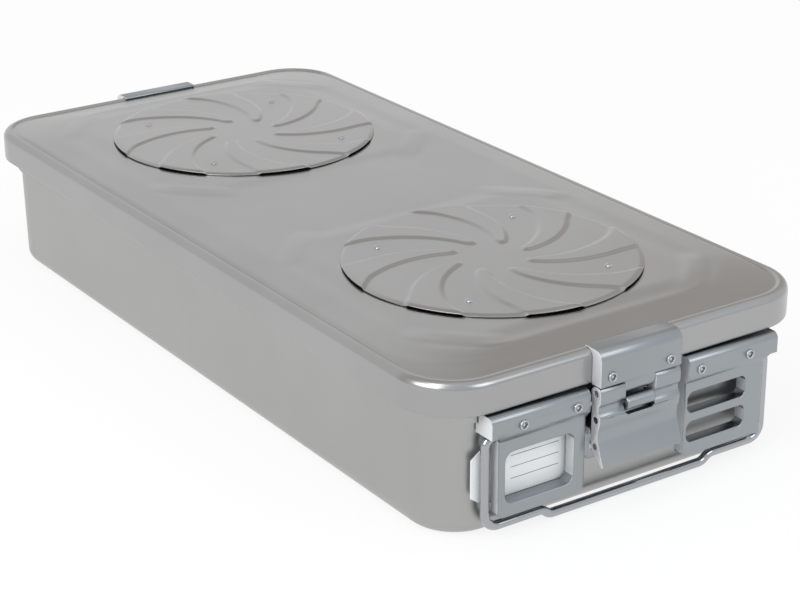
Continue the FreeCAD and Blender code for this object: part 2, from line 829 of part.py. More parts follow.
def build_label_card():
    """The label card, with cut corners at the end that sticks out."""
    body = new_body("label_card")
    outline = add_outline(new_sketch(body, "outline", "XZ_Plane", out=card_back), [
        (-d.card_left + d.card_corner, card_low),
        (-d.card_left + d.card_length, card_low),
        (-d.card_left + d.card_length, card_high),
        (-d.card_left + d.card_corner, card_high),
        (-d.card_left, card_high - d.card_corner / 2),
        (-d.card_left, card_low + d.card_corner),
    ])
    pad(body, "sheet", outline, d.card_sheet)


# Wire handles


def handle_path():
    """Centre line from the left pivot end round to the right one, with the grip stepped down."""
    left = [
        (-d.handle_end, d.pivot_height),
        (-d.handle_half + d.handle_top_bend, d.pivot_height, d.handle_top_bend),
        (-d.handle_half, d.pivot_height - d.handle_top_bend),
        (-d.handle_half, d.handle_run_height + d.handle_low_bend, d.handle_low_bend),
        (-d.handle_half + d.handle_low_bend, d.handle_run_height),
    ]
    drop = d.handle_run_height - d.grip_height
    joggle_radius = (d.joggle_length * d.joggle_length + drop * drop) / (4 * drop)
    start = -d.grip_half - d.joggle_length
    joggle = [
        (start, d.handle_run_height, -joggle_radius),
        (start + d.joggle_length / 2, d.handle_run_height - drop / 2, joggle_radius),
        (-d.grip_half, d.grip_height),
    ]
    back = [
        (d.grip_half, d.grip_height, joggle_radius),
        (d.grip_half + d.joggle_length / 2, d.handle_run_height - drop / 2, -joggle_radius),
        (d.grip_half + d.joggle_length, d.handle_run_height),
    ]
    right = [
        (d.handle_half - d.handle_low_bend, d.handle_run_height, d.handle_low_bend),
        (d.handle_half, d.handle_run_height + d.handle_low_bend),
        (d.handle_half, d.pivot_height - d.handle_top_bend, d.handle_top_bend),
        (d.handle_half - d.handle_top_bend, d.pivot_height),
        (d.handle_end, d.pivot_height),
    ]
    return left + joggle + back + right


def build_handles():
    """Round wire swept along its bends; its turned-in ends run in the end plates' flanges."""
    for end, rear in ENDS:
        body = new_body("handle_" + end, rear)
        path = add_outline(new_sketch(body, "path", "XZ_Plane", out=pivot_y), handle_path(), closed=False)
        circle = add_circle(new_sketch(body, "wire", "YZ_Plane", out=-d.handle_end),
                            -pivot_y, d.pivot_height, d.wire)
        document.recompute()
        pipe = body.newObject("PartDesign::AdditivePipe", body.Name + "_pipe")
        pipe.Profile = circle
        pipe.Spine = (path, ["Edge%d" % number for number in range(1, len(path.Shape.Edges) + 1)])
        body.Tip = pipe
        document.recompute()


# Lid


def build_lid_shell():
    """The drawn lid: skirt, rounded rim bead, trough, sloped plateau and two pressed fields."""
    body = new_body("lid_shell")
    skirt = add_outline(new_sketch(body, "skirt", "XY_Plane", out=d.skirt_bottom),
                        rounded_rectangle(half_lid_x, half_lid_y, d.lid_corner))
    block = pad(body, "skirt_pad", skirt, d.rim_top - d.skirt_bottom)
    fillet(body, "rim_edge", block, d.rim_edge_radius,
           lambda edge: all(near(vertex.Z, d.rim_top.value) for vertex in edge.Vertexes))
    trough_z = d.rim_top - d.trough_depth
    trough = add_outline(new_sketch(body, "trough", "XY_Plane", out=trough_z),
                         inset_rectangle(d.bead_width))
    pocket(body, "trough_cut", trough, d.trough_depth + OVERCUT)
    start = d.bead_width + d.trough_width
    sections = [
        add_outline(new_sketch(body, "slope_foot", "XY_Plane", out=trough_z), inset_rectangle(start)),
        add_outline(new_sketch(body, "slope_shoulder", "XY_Plane", out=d.shoulder_top),
                    plateau_outline(d.shoulder_side, d.shoulder_end, d.shoulder_corner)),
        add_outline(new_sketch(body, "slope_top", "XY_Plane", out=d.plateau_top),
                    plateau_outline(d.plateau_side, d.plateau_end, d.plateau_corner)),
    ]
    loft(body, "plateau", "Additive", sections)
    inside = add_outline(new_sketch(body, "inside", "XY_Plane", out=d.skirt_bottom),
                         inset_rectangle(d.lid_sheet))
    pocket(body, "inside_cut", inside, lid_inside_top - d.skirt_bottom)
    under = [
        add_outline(new_sketch(body, "under_foot", "XY_Plane", out=lid_inside_top), inset_rectangle(start)),
        add_outline(new_sketch(body, "under_shoulder", "XY_Plane", out=d.shoulder_top - d.lid_sheet),
                    plateau_outline(d.shoulder_side, d.shoulder_end, d.shoulder_corner)),
        add_outline(new_sketch(body, "under_top", "XY_Plane", out=plateau_underside),
                    plateau_outline(d.plateau_side, d.plateau_end, d.plateau_corner)),
    ]
    loft(body, "underside", "Subtractive", under)
    for number, centre in enumerate(field_centres, start=1):
        pressed_field(body, number, centre)
    planes = ((d.latch_centre, half_lid_y - 2 * d.lid_sheet), (-d.latch_centre, -1 * (half_lid_y + d.lid_sheet)))
    for number, (centre, out) in enumerate(planes, start=1):
        holes = new_sketch(body, "bracket_holes%d" % number, "XZ_Plane", out=out)
        for side in (-1, 1):
            add_circle(holes, centre + side * d.bracket_rivet_half, d.bracket_rivet_height, d.rivet_shank)
        pocket(body, "bracket_holes%d_cut" % number, holes, 3 * d.lid_sheet)


def inset_rectangle(inset):
    """The lid's outline moved inwards."""
    inset = sized(inset)
    return rounded_rectangle(half_lid_x - inset, half_lid_y - inset, d.lid_corner - inset)


def plateau_outline(side, end, corner):
    """A level of the plateau, inset from the lid's sides and ends."""
    return rounded_rectangle(half_lid_x - side, half_lid_y - end, corner)


def pressed_field(body, number, centre):
    """One square field with gently sloped edges, with rings of steam holes and the rivet holes."""
    name = "field%d" % number
    half = d.field_side / 2
    foot = rounded_rectangle(half, half, d.field_corner)
    crown = rounded_rectangle(half - d.field_slope, half - d.field_slope, d.field_corner - d.field_slope / 2)
    for kind, part, low, high in (("Additive", "", d.plateau_top, field_top),
                                  ("Subtractive", "_under", plateau_underside, field_underside)):
        levels = [add_outline(new_sketch(body, name + part + level, "XY_Plane", up=centre, out=height), outline)
                  for level, height, outline in (("_foot", low, foot), ("_crown", high, crown))]
        loft(body, name + part + "_slope", kind, levels)
    for ring in STEAM_RINGS:
        sketch = new_sketch(body, "%s_ring%d" % (name, ring), "XY_Plane", up=centre, out=plateau_underside)
        add_circle(sketch, d.steam_ring_step * ring, 0, d.steam_hole)
        hole = pocket(body, "%s_ring%d_cut" % (name, ring), sketch, d.lid_sheet + 2 * d.field_rise)
        round_pattern(body, "%s_ring%d_all" % (name, ring), hole, sketch, STEAM_HOLES_PER_RING * ring)
    sketch = new_sketch(body, name + "_fixings", "XY_Plane", up=centre, out=plateau_underside)
    add_circle(sketch, 0, 0, d.stud_diameter)
    for x, y in cover_rivet_places():
        add_circle(sketch, x, y, d.cover_rivet_shank)
    pocket(body, name + "_fixings_cut", sketch, d.lid_sheet + 2 * d.field_rise)


def cover_rivet_places():
    return [turned(d.cover_rivet_circle / 2, d.cover_rivet_turn + 360.0 * number / COVER_RIVETS)
            for number in range(COVER_RIVETS)]


def build_lid_gasket():
    """The silicone ring that lies under the rim and rests on the pan's mouth."""
    body = new_body("lid_gasket")
    outer = d.lid_sheet + d.gasket_gap
    ring = new_sketch(body, "ring", "XY_Plane", out=d.base_top)
    add_outline(ring, inset_rectangle(outer))
    add_outline(ring, inset_rectangle(outer + d.gasket_width))
    pad(body, "ring_pad", ring, lid_inside_top - d.base_top)


def vane_points(wall, reach):
    """A vane's outline: two swept flanks, a short end near the hub and an open end past the rim."""
    inner = d.vane_tip + wall
    middle = d.cover_diameter * 0.3
    outer = d.cover_diameter / 2 + reach
    lead = d.vane_twist / 2
    middle_half = d.vane_angle / 2
    rim_half = d.vane_rim_angle / 2
    places = ((inner, -1 * lead, middle_half), (middle, sized(0), middle_half), (outer, lead, rim_half))
    flanks = []
    for turn in (-1, 1):
        flank = []
        for radius, angle, half in places:
            narrow = Size(math.degrees(wall.value / radius.value),
                          "(%s / %s * 57.29578)" % (wall.text, radius.text))
            flank.append(turned(radius, VANE_START + angle + turn * (half - narrow)))
        flanks.append(flank)
    return flanks


def add_vane(sketch, wall, reach):
    """Adds a vane's closed outline; each flank is an arc through its three points."""
    first, second = vane_points(sized(wall), sized(reach))
    points = []
    for flank, order in ((first, (0, 1, 2)), (second, (2, 1, 0))):
        ordered = [flank[number] for number in order]
        (x1, y1), (x2, y2), (x3, y3) = [(x.value, y.value) for x, y in ordered]
        twist = (x2 - x1) * (y3 - y2) - (y2 - y1) * (x3 - x2)
        radius = (math.dist((x1, y1), (x2, y2)) * math.dist((x2, y2), (x3, y3))
                  * math.dist((x1, y1), (x3, y3)) / (2 * twist))
        points.append((ordered[0][0], ordered[0][1], radius))
        points.append((ordered[2][0], ordered[2][1]))
    return add_outline(sketch, points)


def build_covers():
    """Round cover plates: eight turbine vanes are pressed upwards and run out through the edge."""
    for end, rear in ENDS:
        body = new_body("cover_" + end, rear)
        centre = field_centres[0]
        plate = add_circle(new_sketch(body, "plate", "XY_Plane", up=centre, out=cover_bottom),
                           0, 0, d.cover_diameter)
        pad(body, "plate_pad", plate, d.cover_sheet)
        vane = add_vane(new_sketch(body, "vane", "XY_Plane", up=centre, out=cover_bottom + d.cover_sheet / 2),
                        0, 2 * OVERCUT)
        raised = pad(body, "vane_pad", vane, d.vane_rise + d.cover_sheet / 2)
        round_pattern(body, "vanes", raised, vane, VANES)
        under = add_vane(new_sketch(body, "vane_under", "XY_Plane", up=centre, out=cover_bottom - OVERCUT),
                         d.vane_wall, 3 * OVERCUT)
        hollow = pocket(body, "vane_under_cut", under, d.vane_rise + OVERCUT)
        round_pattern(body, "vanes_under", hollow, under, VANES)
        trim = new_sketch(body, "trim", "XY_Plane", up=centre, out=cover_bottom - OVERCUT)
        add_circle(trim, 0, 0, d.cover_diameter)
        add_circle(trim, 0, 0, d.cover_diameter + 10 * OVERCUT)
        pocket(body, "trim_cut", trim, d.cover_sheet + d.vane_rise + 2 * OVERCUT)
        holes = new_sketch(body, "rivet_holes", "XY_Plane", up=centre, out=cover_bottom - OVERCUT)
        for x, y in cover_rivet_places():
            add_circle(holes, x, y, d.cover_rivet_shank)
        pocket(body, "rivet_holes_cut", holes, d.cover_sheet + d.vane_rise + 2 * OVERCUT)


def build_cover_spacers():
    """Washers that hold each cover above the steam holes."""
    for end, rear in ENDS:
        body = new_body("cover_spacers_" + end, rear)
        rings = new_sketch(body, "rings", "XY_Plane", up=field_centres[0], out=field_top)
        for x, y in cover_rivet_places():
            add_circle(rings, x, y, d.spacer_diameter)
            add_circle(rings, x, y, d.cover_rivet_shank)
        pad(body, "rings_pad", rings, d.cover_gap)


def build_cover_rivets():
    """Domed rivets through cover, washer and lid."""
    for end, rear in ENDS:
        body = new_body("cover_rivets_" + end, rear)
        head = d.cover_rivet_head / 2
        dome = (head * head + d.cover_rivet_dome * d.cover_rivet_dome) / (2 * d.cover_rivet_dome)
        depth = cover_top - field_underside
        for number, (x, y) in enumerate(cover_rivet_places(), start=1):
            sketch = new_sketch(body, "rivet%d" % number, "XZ_Plane", across=x, up=cover_top,
                                out=-1 * (field_centres[0] + y))
            add_outline(sketch, [
                (0, -depth),
                (d.cover_rivet_shank / 2, -depth),
                (d.cover_rivet_shank / 2, 0),
                (head, 0, dome),
                (0, d.cover_rivet_dome),
            ])
            revolve(body, "rivet%d_turn" % number, sketch, "V_Axis")


# Filters, retainers and locks under the lid


def build_filters():
    """Round filter sheets that cover the steam holes from below."""
    for end, rear in ENDS:
        body = new_body("filter_" + end, rear)
        ring = new_sketch(body, "ring", "XY_Plane", up=field_centres[0], out=filter_bottom)
        add_circle(ring, 0, 0, d.filter_diameter)
        add_circle(ring, 0, 0, d.stud_diameter)
        pad(body, "sheet", ring, d.filter_sheet)


def build_retainers():
    """Perforated plates with a turned-down rim that hold the filters."""
    for end, rear in ENDS:
        body = new_body("retainer_" + end, rear)
        centre = field_centres[0]
        outer = d.retainer_diameter / 2
        stud = d.stud_diameter / 2
        section = new_sketch(body, "section", "XZ_Plane", up=retainer_bottom, out=-1 * centre)
        add_outline(section, [
            (stud, 0),
            (outer - d.retainer_sheet, 0),
            (outer - d.retainer_sheet, -d.retainer_rim),
            (outer, -d.retainer_rim),
            (outer, d.retainer_sheet),
            (stud, d.retainer_sheet),
        ])
        revolve(body, "plate", section, "V_Axis")
        sketch = new_sketch(body, "hole", "XY_Plane", up=centre, out=retainer_bottom - OVERCUT)
        add_circle(sketch, d.retainer_hole_circle / 2, 0, d.retainer_hole)
        hole = pocket(body, "hole_cut", sketch, d.retainer_sheet + 2 * OVERCUT)
        round_pattern(body, "holes", hole, sketch, RETAINER_HOLES)


def build_retainer_studs():
    """Studs fixed in the lid: a flat head under the cover and a flange that keeps the lock on."""
    for end, rear in ENDS:
        body = new_body("retainer_stud_" + end, rear)
        shank = d.stud_diameter / 2
        lock_end = d.lock_height - d.lock_bore_depth + 2 * d.lock_fit
        length = field_top - retainer_bottom + lock_end
        section = new_sketch(body, "section", "XZ_Plane", up=field_top, out=-1 * field_centres[0])
        add_outline(section, [
            (0, -length - d.stud_flange_height),
            (d.stud_flange / 2, -length - d.stud_flange_height),
            (d.stud_flange / 2, -length),
            (shank, -length),
            (shank, 0),
            (d.stud_head / 2, 0),
            (d.stud_head / 2 - d.stud_head_height, d.stud_head_height),
            (0, d.stud_head_height),
        ])
        revolve(body, "turn", section, "V_Axis")


def build_retainer_locks():
    """Quarter-turn wing knobs that press the retainers up."""
    for end, rear in ENDS:
        body = new_body("retainer_lock_" + end, rear)
        centre = field_centres[0]
        top = retainer_bottom - d.lock_fit
        hub = add_circle(new_sketch(body, "hub", "XY_Plane", up=centre, out=top - d.lock_height),
                         0, 0, d.lock_hub)
        pad(body, "hub_pad", hub, d.lock_height)
        half = d.lock_wing_length / 2
        tip = d.lock_wing_width / 2
        wing = add_outline(new_sketch(body, "wing", "XY_Plane", up=centre, out=top - d.lock_height * 0.75), [
            (-half, -tip),
            (0, -tip * 1.6),
            (half, -tip),
            (half, tip),
            (0, tip * 1.6),
            (-half, tip),
        ])
        pad(body, "wing_pad", wing, d.lock_height * 0.75)
        bore = add_circle(new_sketch(body, "bore", "XY_Plane", up=centre, out=top - d.lock_height - OVERCUT),
                          0, 0, d.stud_diameter + 2 * d.lock_fit)
        pocket(body, "bore_cut", bore, d.lock_height + 2 * OVERCUT)
        counter = add_circle(new_sketch(body, "counterbore", "XY_Plane", up=centre,
                                        out=top - d.lock_height - OVERCUT),
                             0, 0, d.stud_flange + 2 * OVERCUT)
        pocket(body, "counterbore_cut", counter, d.lock_bore_depth + OVERCUT)


# Brackets over the rim, with the hinge's middle knuckle


def build_brackets():
    """A thick hook over the rim: its front leg carries the latch's hinge knuckle."""
    for end, rear in ENDS:
        body = new_body("lid_bracket_" + end, rear)
        inner = half_lid_y - d.bracket_reach
        rim = half_lid_y - d.rim_edge_radius
        top = d.rim_top + d.bracket_rise
        lip = d.rim_top - d.trough_depth / 2
        groove = half_lid_y - d.bead_width
        rear = d.bracket_rear_round
        section = add_outline(new_sketch(body, "section", "YZ_Plane", out=d.latch_centre - d.bracket_half), [
            (-half_lid_y, d.bracket_bottom),
            (-half_lid_y, d.rim_top - d.rim_edge_radius, -d.rim_edge_radius),
            (-rim, d.rim_top),
            (-groove, d.rim_top),
            (-groove, lip),
            (-inner, lip),
            (-inner, top - rear, rear),
            (-inner - rear, top),
            (-bracket_face + d.bracket_round, top, d.bracket_round),
            (-bracket_face, top - d.bracket_round),
            (-bracket_face, d.bracket_bottom),
        ])
        pad(body, "hook", section, 2 * d.bracket_half)
        knuckle = d.tab_knuckle
        tab = add_outline(new_sketch(body, "tab", "YZ_Plane", out=d.latch_centre - d.tab_half), [
            (-hinge_y + knuckle, d.bracket_bottom + OVERCUT),
            (-hinge_y - knuckle, d.bracket_bottom + OVERCUT),
            (-hinge_y - knuckle, d.hinge_height, knuckle),
            (-hinge_y, d.hinge_height - knuckle, knuckle),
            (-hinge_y + knuckle, d.hinge_height),
        ])
        pad(body, "tab_pad", tab, 2 * d.tab_half)
        bore = add_circle(new_sketch(body, "pin_bore", "YZ_Plane", out=d.latch_centre - d.tab_half - OVERCUT),
                          -hinge_y, d.hinge_height, d.hinge_pin)
        pocket(body, "pin_bore_cut", bore, 2 * (d.tab_half + OVERCUT))
        holes = new_sketch(body, "rivet_holes", "XZ_Plane", out=half_lid_y - d.bead_width)
        for side in (-1, 1):
            add_circle(holes, d.latch_centre + side * d.bracket_rivet_half, d.bracket_rivet_height, d.rivet_shank)
        pocket(body, "rivet_holes_cut", holes, d.bracket_front + d.bead_width + OVERCUT)


def build_bracket_rivets():
    """Rivets that hold each bracket to the lid's skirt."""
    places = [(d.latch_centre + side * d.bracket_rivet_half, d.bracket_rivet_height) for side in (-1, 1)]
    for end, rear in ENDS:
        body = new_body("bracket_rivets_" + end, rear)
        flat_rivets(body, places, bracket_face, half_lid_y - d.lid_sheet)


def build_hinge_pins():
    """Pins fixed in the brackets, on which the latches turn."""
    for end, rear in ENDS:
        body = new_body("hinge_pin_" + end, rear)
        pin = add_circle(new_sketch(body, "pin", "YZ_Plane", out=d.latch_centre - d.latch_half + OVERCUT),
                         -hinge_y, d.hinge_height, d.hinge_pin)
        pad(body, "pin_pad", pin, 2 * (d.latch_half - OVERCUT))


# Latches


def quarter(rise, run):
    """Radius of an arc that leaves along the run and has moved by the rise at its end."""
    return (rise * rise + run * run) / (2 * rise)


def latch_profile():
    """The drawn bar's section: hinge knuckle, two shallow waves, and a lip turned outwards."""
    knuckle = d.hinge_knuckle
    valley = half_lid_y + d.latch_valley
    depth = (latch_ridge - valley) / 2
    upper = (d.latch_flat_end - d.latch_valley_upper) / 2
    middle = (d.latch_valley_upper - d.latch_ridge_height) / 2
    lower = (d.latch_ridge_height - d.latch_valley_lower) / 2
    lip = half_lid_y + d.latch_lip_out
    level = valley + depth
    run, arm = turned(d.latch_flare, d.latch_flare_angle)
    return [
        (-hinge_y + knuckle, d.hinge_height, knuckle),
        (-hinge_y, d.hinge_height + knuckle, knuckle),
        (-latch_ridge, d.hinge_height),
        (-latch_ridge, d.latch_flat_end, quarter(depth, upper)),
        (-level, d.latch_flat_end - upper, -quarter(depth, upper)),
        (-valley, d.latch_valley_upper, -quarter(depth, middle)),
        (-level, d.latch_valley_upper - middle, quarter(depth, middle)),
        (-latch_ridge, d.latch_ridge_height, quarter(depth, lower)),
        (-level, d.latch_ridge_height - lower, -quarter(depth, lower)),
        (-valley, d.latch_valley_lower, -d.latch_flare),
        (-valley - d.latch_flare + run, d.latch_valley_lower - arm),
        (-lip, d.latch_lip_height),
        (-lip + d.latch_lip_sheet, d.latch_lip_height - d.latch_lip_sheet / 2),
        (-latch_back - d.latch_lip_sheet, d.rod_height - d.rod_diameter),
        (-latch_back, d.rod_height + d.latch_lip_sheet),
        (-latch_back, d.latch_valley_upper),
    ]


def build_latches():
    """Latch plates: a wavy drawn section with a window for the hinge tab and the seal sleeve."""
    for end, rear in ENDS:
        body = new_body("latch_" + end, rear)
        left = d.latch_centre - d.latch_half
        section = add_outline(new_sketch(body, "section", "YZ_Plane", out=left), latch_profile())
        pad(body, "plate", section, 2 * d.latch_half)
        top = d.hinge_height + d.hinge_knuckle + OVERCUT
        window = new_sketch(body, "window", "XZ_Plane", across=d.latch_centre, out=half_lid_y - OVERCUT)
        corner = d.latch_window_corner
        add_outline(window, [
            (-d.window_half + corner, d.latch_window_bottom),
            (d.window_half - corner, d.latch_window_bottom, corner),
            (d.window_half, d.latch_window_bottom + corner),
            (d.window_half, top),
            (-d.window_half, top),
            (-d.window_half, d.latch_window_bottom + corner, corner),
        ])
        pocket(body, "window_cut", window, d.latch_lip_out)
        bores = new_sketch(body, "bores", "YZ_Plane", out=left - OVERCUT)
        add_circle(bores, -hinge_y, d.hinge_height, d.hinge_pin + 2 * d.hinge_fit)
        pocket(body, "bores_cut", bores, 2 * (d.latch_half + OVERCUT))
        ports = new_sketch(body, "ports", "YZ_Plane", out=left - OVERCUT)
        add_circle(ports, -hinge_y, d.port_height, d.port_diameter)
        add_circle(ports, -hinge_y, d.rod_height, d.rod_diameter)
        pocket(body, "ports_cut", ports, 2 * (d.latch_half + OVERCUT))
        pin = add_circle(new_sketch(body, "sleeve_pin_bore", "YZ_Plane",
                                    out=d.latch_centre - d.window_half - d.sleeve_pin_grip),
                         -hinge_y, d.hinge_height - d.sleeve_drop, d.sleeve_pin)
        pocket(body, "sleeve_pin_bore_cut", pin, 2 * (d.window_half + d.sleeve_pin_grip))


def build_latch_rods():
    """Rods pressed into the latches' lowest port."""
    for end, rear in ENDS:
        body = new_body("latch_rod_" + end, rear)
        rod = add_circle(new_sketch(body, "rod", "YZ_Plane", out=d.latch_centre - d.latch_half),
                         -hinge_y, d.rod_height, d.rod_diameter)
        pad(body, "rod_pad", rod, 2 * d.latch_half)


def build_seal_sleeves():
    """Rolled sleeves across the latch windows, where a tamper seal is threaded."""
    for end, rear in ENDS:
        body = new_body("seal_sleeve_" + end, rear)
        half = d.window_half - d.sleeve_gap
        ring = new_sketch(body, "ring", "YZ_Plane", out=d.latch_centre - half)
        add_circle(ring, -hinge_y, d.hinge_height - d.sleeve_drop, d.sleeve_diameter)
        add_circle(ring, -hinge_y, d.hinge_height - d.sleeve_drop, d.sleeve_pin)
        pad(body, "ring_pad", ring, 2 * half)


def build_seal_pins():
    """Pins that carry the seal sleeves."""
    for end, rear in ENDS:
        body = new_body("seal_pin_" + end, rear)
        half = d.window_half + d.sleeve_pin_grip
        pin = add_circle(new_sketch(body, "pin", "YZ_Plane", out=d.latch_centre - half),
                         -hinge_y, d.hinge_height - d.sleeve_drop, d.sleeve_pin)
        pad(body, "pin_pad", pin, 2 * half)


def build_all():
    """Builds every sub-part, the pan first."""
    build_base_pan()
    build_label_plates()
    build_slot_plates()
    build_end_rivets()
    build_catches()
    build_catch_rivets()
    build_card_guide()
    build_label_card()
    build_handles()
    build_lid_shell()
    build_lid_gasket()
    build_covers()
    build_cover_spacers()
    build_cover_rivets()
    build_filters()
    build_retainers()
    build_retainer_studs()
    build_retainer_locks()
    build_brackets()
    build_bracket_rivets()
    build_hinge_pins()
    build_latches()
    build_latch_rods()
    build_seal_sleeves()
    build_seal_pins()
    document.recompute()


def check_and_write():
    """Stops on any failed object or bad solid, then writes one file for each sub-part."""
    for thing in document.Objects:
        if "Invalid" in thing.State or "Error" in thing.State:
            raise RuntimeError("%s is %s" % (thing.Name, thing.State))
    for body in sub_parts:
        if body.Shape.isNull() or not body.Shape.isValid() or not body.Shape.Solids:
            raise RuntimeError(body.Label + " has a bad shape")
    os.makedirs("parts", exist_ok=True)
    for body in sub_parts:
        body.Shape.exportStep("parts/%s.step" % body.Label)
        print("%-24s %2d solids %12.1f mm3" % (body.Label, len(body.Shape.Solids), body.Shape.Volume))


build_all()
check_and_write()
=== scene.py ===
"""Looks of a rigid sterilization container: anodised metal, wire, card, studio light and camera."""
import json
import math

import bmesh
import bpy
from mathutils import Matrix, Vector


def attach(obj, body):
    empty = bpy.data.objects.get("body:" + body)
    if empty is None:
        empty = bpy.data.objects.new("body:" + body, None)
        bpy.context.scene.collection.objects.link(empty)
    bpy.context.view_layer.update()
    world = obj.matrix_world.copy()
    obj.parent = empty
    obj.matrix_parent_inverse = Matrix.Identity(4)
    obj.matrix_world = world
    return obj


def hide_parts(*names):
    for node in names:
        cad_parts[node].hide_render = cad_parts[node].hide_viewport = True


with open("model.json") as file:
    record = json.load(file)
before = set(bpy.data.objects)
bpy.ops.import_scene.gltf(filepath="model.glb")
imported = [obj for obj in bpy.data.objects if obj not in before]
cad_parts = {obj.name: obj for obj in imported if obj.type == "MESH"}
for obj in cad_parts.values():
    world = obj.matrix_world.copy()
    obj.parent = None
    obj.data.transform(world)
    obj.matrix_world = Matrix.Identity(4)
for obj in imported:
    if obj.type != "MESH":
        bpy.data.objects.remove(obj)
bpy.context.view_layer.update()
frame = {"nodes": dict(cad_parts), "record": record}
nodes = frame["nodes"]

# Camera: a fit of the photograph's straight edges and circles. Places are in metres, angles in radians,
# the focal length in pixels and the sensor in millimetres.
CAMERA_PLACE = (-0.744839, -1.149741, 0.596616)
CAMERA_AZIMUTH = -0.595053
CAMERA_ELEVATION = 0.395345
CAMERA_ROLL = -0.005698
FOCAL_PIXELS = 2164.0
IMAGE_WIDTH = 800.0
SENSOR_WIDTH = 36.0
NEAREST_SEEN = 0.05
FURTHEST_SEEN = 50.0

# A millimetre in metres, and how close two vertices lie, in metres, to be merged.
MM = 0.001
MERGE = 1e-6
ENDS = (("front", 1), ("rear", -1))

# Lid, in millimetres, and its merge distance in metres. Its levels shrink towards the middle line, and the
# plateau's ends lie further in than its sides. Levels further in than PRESSED_FROM carry the press work.
LID_HALF = (140.0, 290.0)
LID_CORNER = 39.0
BEAD_RADIUS = 5.0
BEAD_CENTRE = 96.7
PLATEAU_TOP = 104.0
PLATEAU_UNDERSIDE = 102.0
PLATEAU_INSET = 28.0
PLATEAU_END = 4.0
PLATEAU_CORNER = 44.0
PLATEAU_START = 31.5
PLATEAU_STEP = 2.2
MIDDLE_INSET = 139.99
MIDDLE_MERGE = 2.5e-5
PRESSED_FROM = 27.0
SMALLEST_CORNER = 0.01
OUTLINE_SIDES = (64, 20, 150, 20)
OUTLINE_STEPS = 2 * sum(OUTLINE_SIDES)

# Square fields pressed into the lid and crescents at their corners, in millimetres and degrees. The cores are
# the shares of a crescent's half width and half angle that keep its full height.
FIELD_CENTRE = 151.0
FIELD_HALF = 104.0
FIELD_CORNER = 38.0
FIELD_RISE = 0.7
FIELD_FLANK = 17.0
CRESCENT_RADIUS = 125.0
CRESCENT_HALF_WIDTH = 10.5
CRESCENT_WIDTH_CORE = 0.25
CRESCENT_ANGLE = 44.0
CRESCENT_HALF_ANGLE = 16.0
CRESCENT_ANGLE_CORE = 0.5
CRESCENT_RISE = 0.5

# Covers and their vanes, in millimetres and degrees.
COVER_RADIUS = 94.0
COVER_UNDERSIDE = 105.5
COVER_SHEET = 0.8
COVER_DOUBLINGS = 3
SECTOR_STEPS = 80
RING_STEP = 1.5
VANE_COUNT = 2 ** COVER_DOUBLINGS
VANE_RISE = 1.0
VANE_TIP = 22.0
VANE_SWEEP = 39.0
VANE_BEND = 0.938
VANE_TURN = 13.0
VANE_HALF_ANGLE = 10.0
VANE_FLARE = 2.0
VANE_FLARE_FROM = 80.0
VANE_ROUND = 5.0
VANE_FLANK = (-0.5, 3.0)
RIM_FROM = 91.0
RIM_DROP_VANE = 0.72
RIM_DROP_FLAT = 0.75
EDGE_FROM = 93.3
EDGE_ROUND = 0.35

# Rivets and the latch's sleeve, in millimetres.
BAR_FACE = 295.5
BAR_RIVET_HEIGHT = 71.5
BAR_RIVETS = (-84.0, -46.0, 46.0, 84.0)
BAR_RIVET_LENGTH = 19.0
BRACKET_FACE = 298.5
BRACKET_RIVET_HEIGHT = 86.0
BRACKET_RIVET_OFFSET = 21.5
BRACKET_RIVET_LENGTH = 12.0
RIVET_STEPS = 40
LATCH_CENTRE = -2.5
SLEEVE_LENGTH = 20.6
SLEEVE_SHIFT = 0.3
SLEEVE_FACE = 296.2
SLEEVE_HEIGHT = 66.0
SLEEVE_STEPS = 48

# Label card in millimetres, and its printed rules in metres and as a share of a row.
CARD_INNER = -38.5
CARD_OUTER = -111.0
CARD_LOW = 22.8
CARD_HIGH = 56.2
CARD_TRIM = (7.0, 4.8)
CARD_FACE = 282.5
CARD_THICKNESS = 0.5
RULES_ACROSS = (-0.083, -0.049)
RULES_UP = (0.030, 0.054)
RULE_FADE = 0.0002
RULE_ROW = 0.0072
RULE_BAND = (0.47, 0.53)
RULE_BAND_FADE = 0.01

# Shading and broken edges, in degrees and millimetres. The last is the share of a face's normal along X
# beyond which the face counts as a bare cut end, whose brighter colour is also a painted highlight.
TURNED_CREASE = 50
CARD_CREASE = 30
FLAT_WITHIN = 0.6
BEVEL_FROM = 38
SHEET_BEVEL = 0.35
PLATE_BEVEL = 0.3
CUT_AND_HIGHLIGHT_FACING = 0.95

# Studio: half the floor's width in metres, tones, and how much of the floor glows by itself where it is seen.
FLOOR_HALF = 12.0
FLOOR_TONE = (0.88, 0.88, 0.88, 1)
FLOOR_GLOW = 0.84
ROOM_TONES = ((0.0, (0.78, 0.83, 0.87)), (0.3, (0.84, 0.87, 0.89)), (0.58, (0.88, 0.88, 0.88)),
              (0.70, (0.66, 0.63, 0.60)), (0.82, (0.62, 0.59, 0.55)), (0.86, (0.90, 0.90, 0.90)),
              (1.0, (0.92, 0.92, 0.92)))

# Lamps: name, place, aim and size in metres, and power in watts. They hang over the near corner, to the left
# and to the front right.
LAMPS = (("corner_light", (-0.75, -0.32, 1.6), (0, 0, 0.05), (0.45, 0.45), 2.5),
         ("side_light", (-1.7, -0.5, 1.2), (-0.2, -0.1, 0.0), (1.3, 1.2), 18.0),
         ("front_light", (0.5, -1.7, 1.3), (0, -0.2, 0.0), (1.0, 1.0), 6.0))

# Sockets of a Mix node that mixes colours.
MIX_FIRST = 6
MIX_SECOND = 7
MIX_RESULT = 2


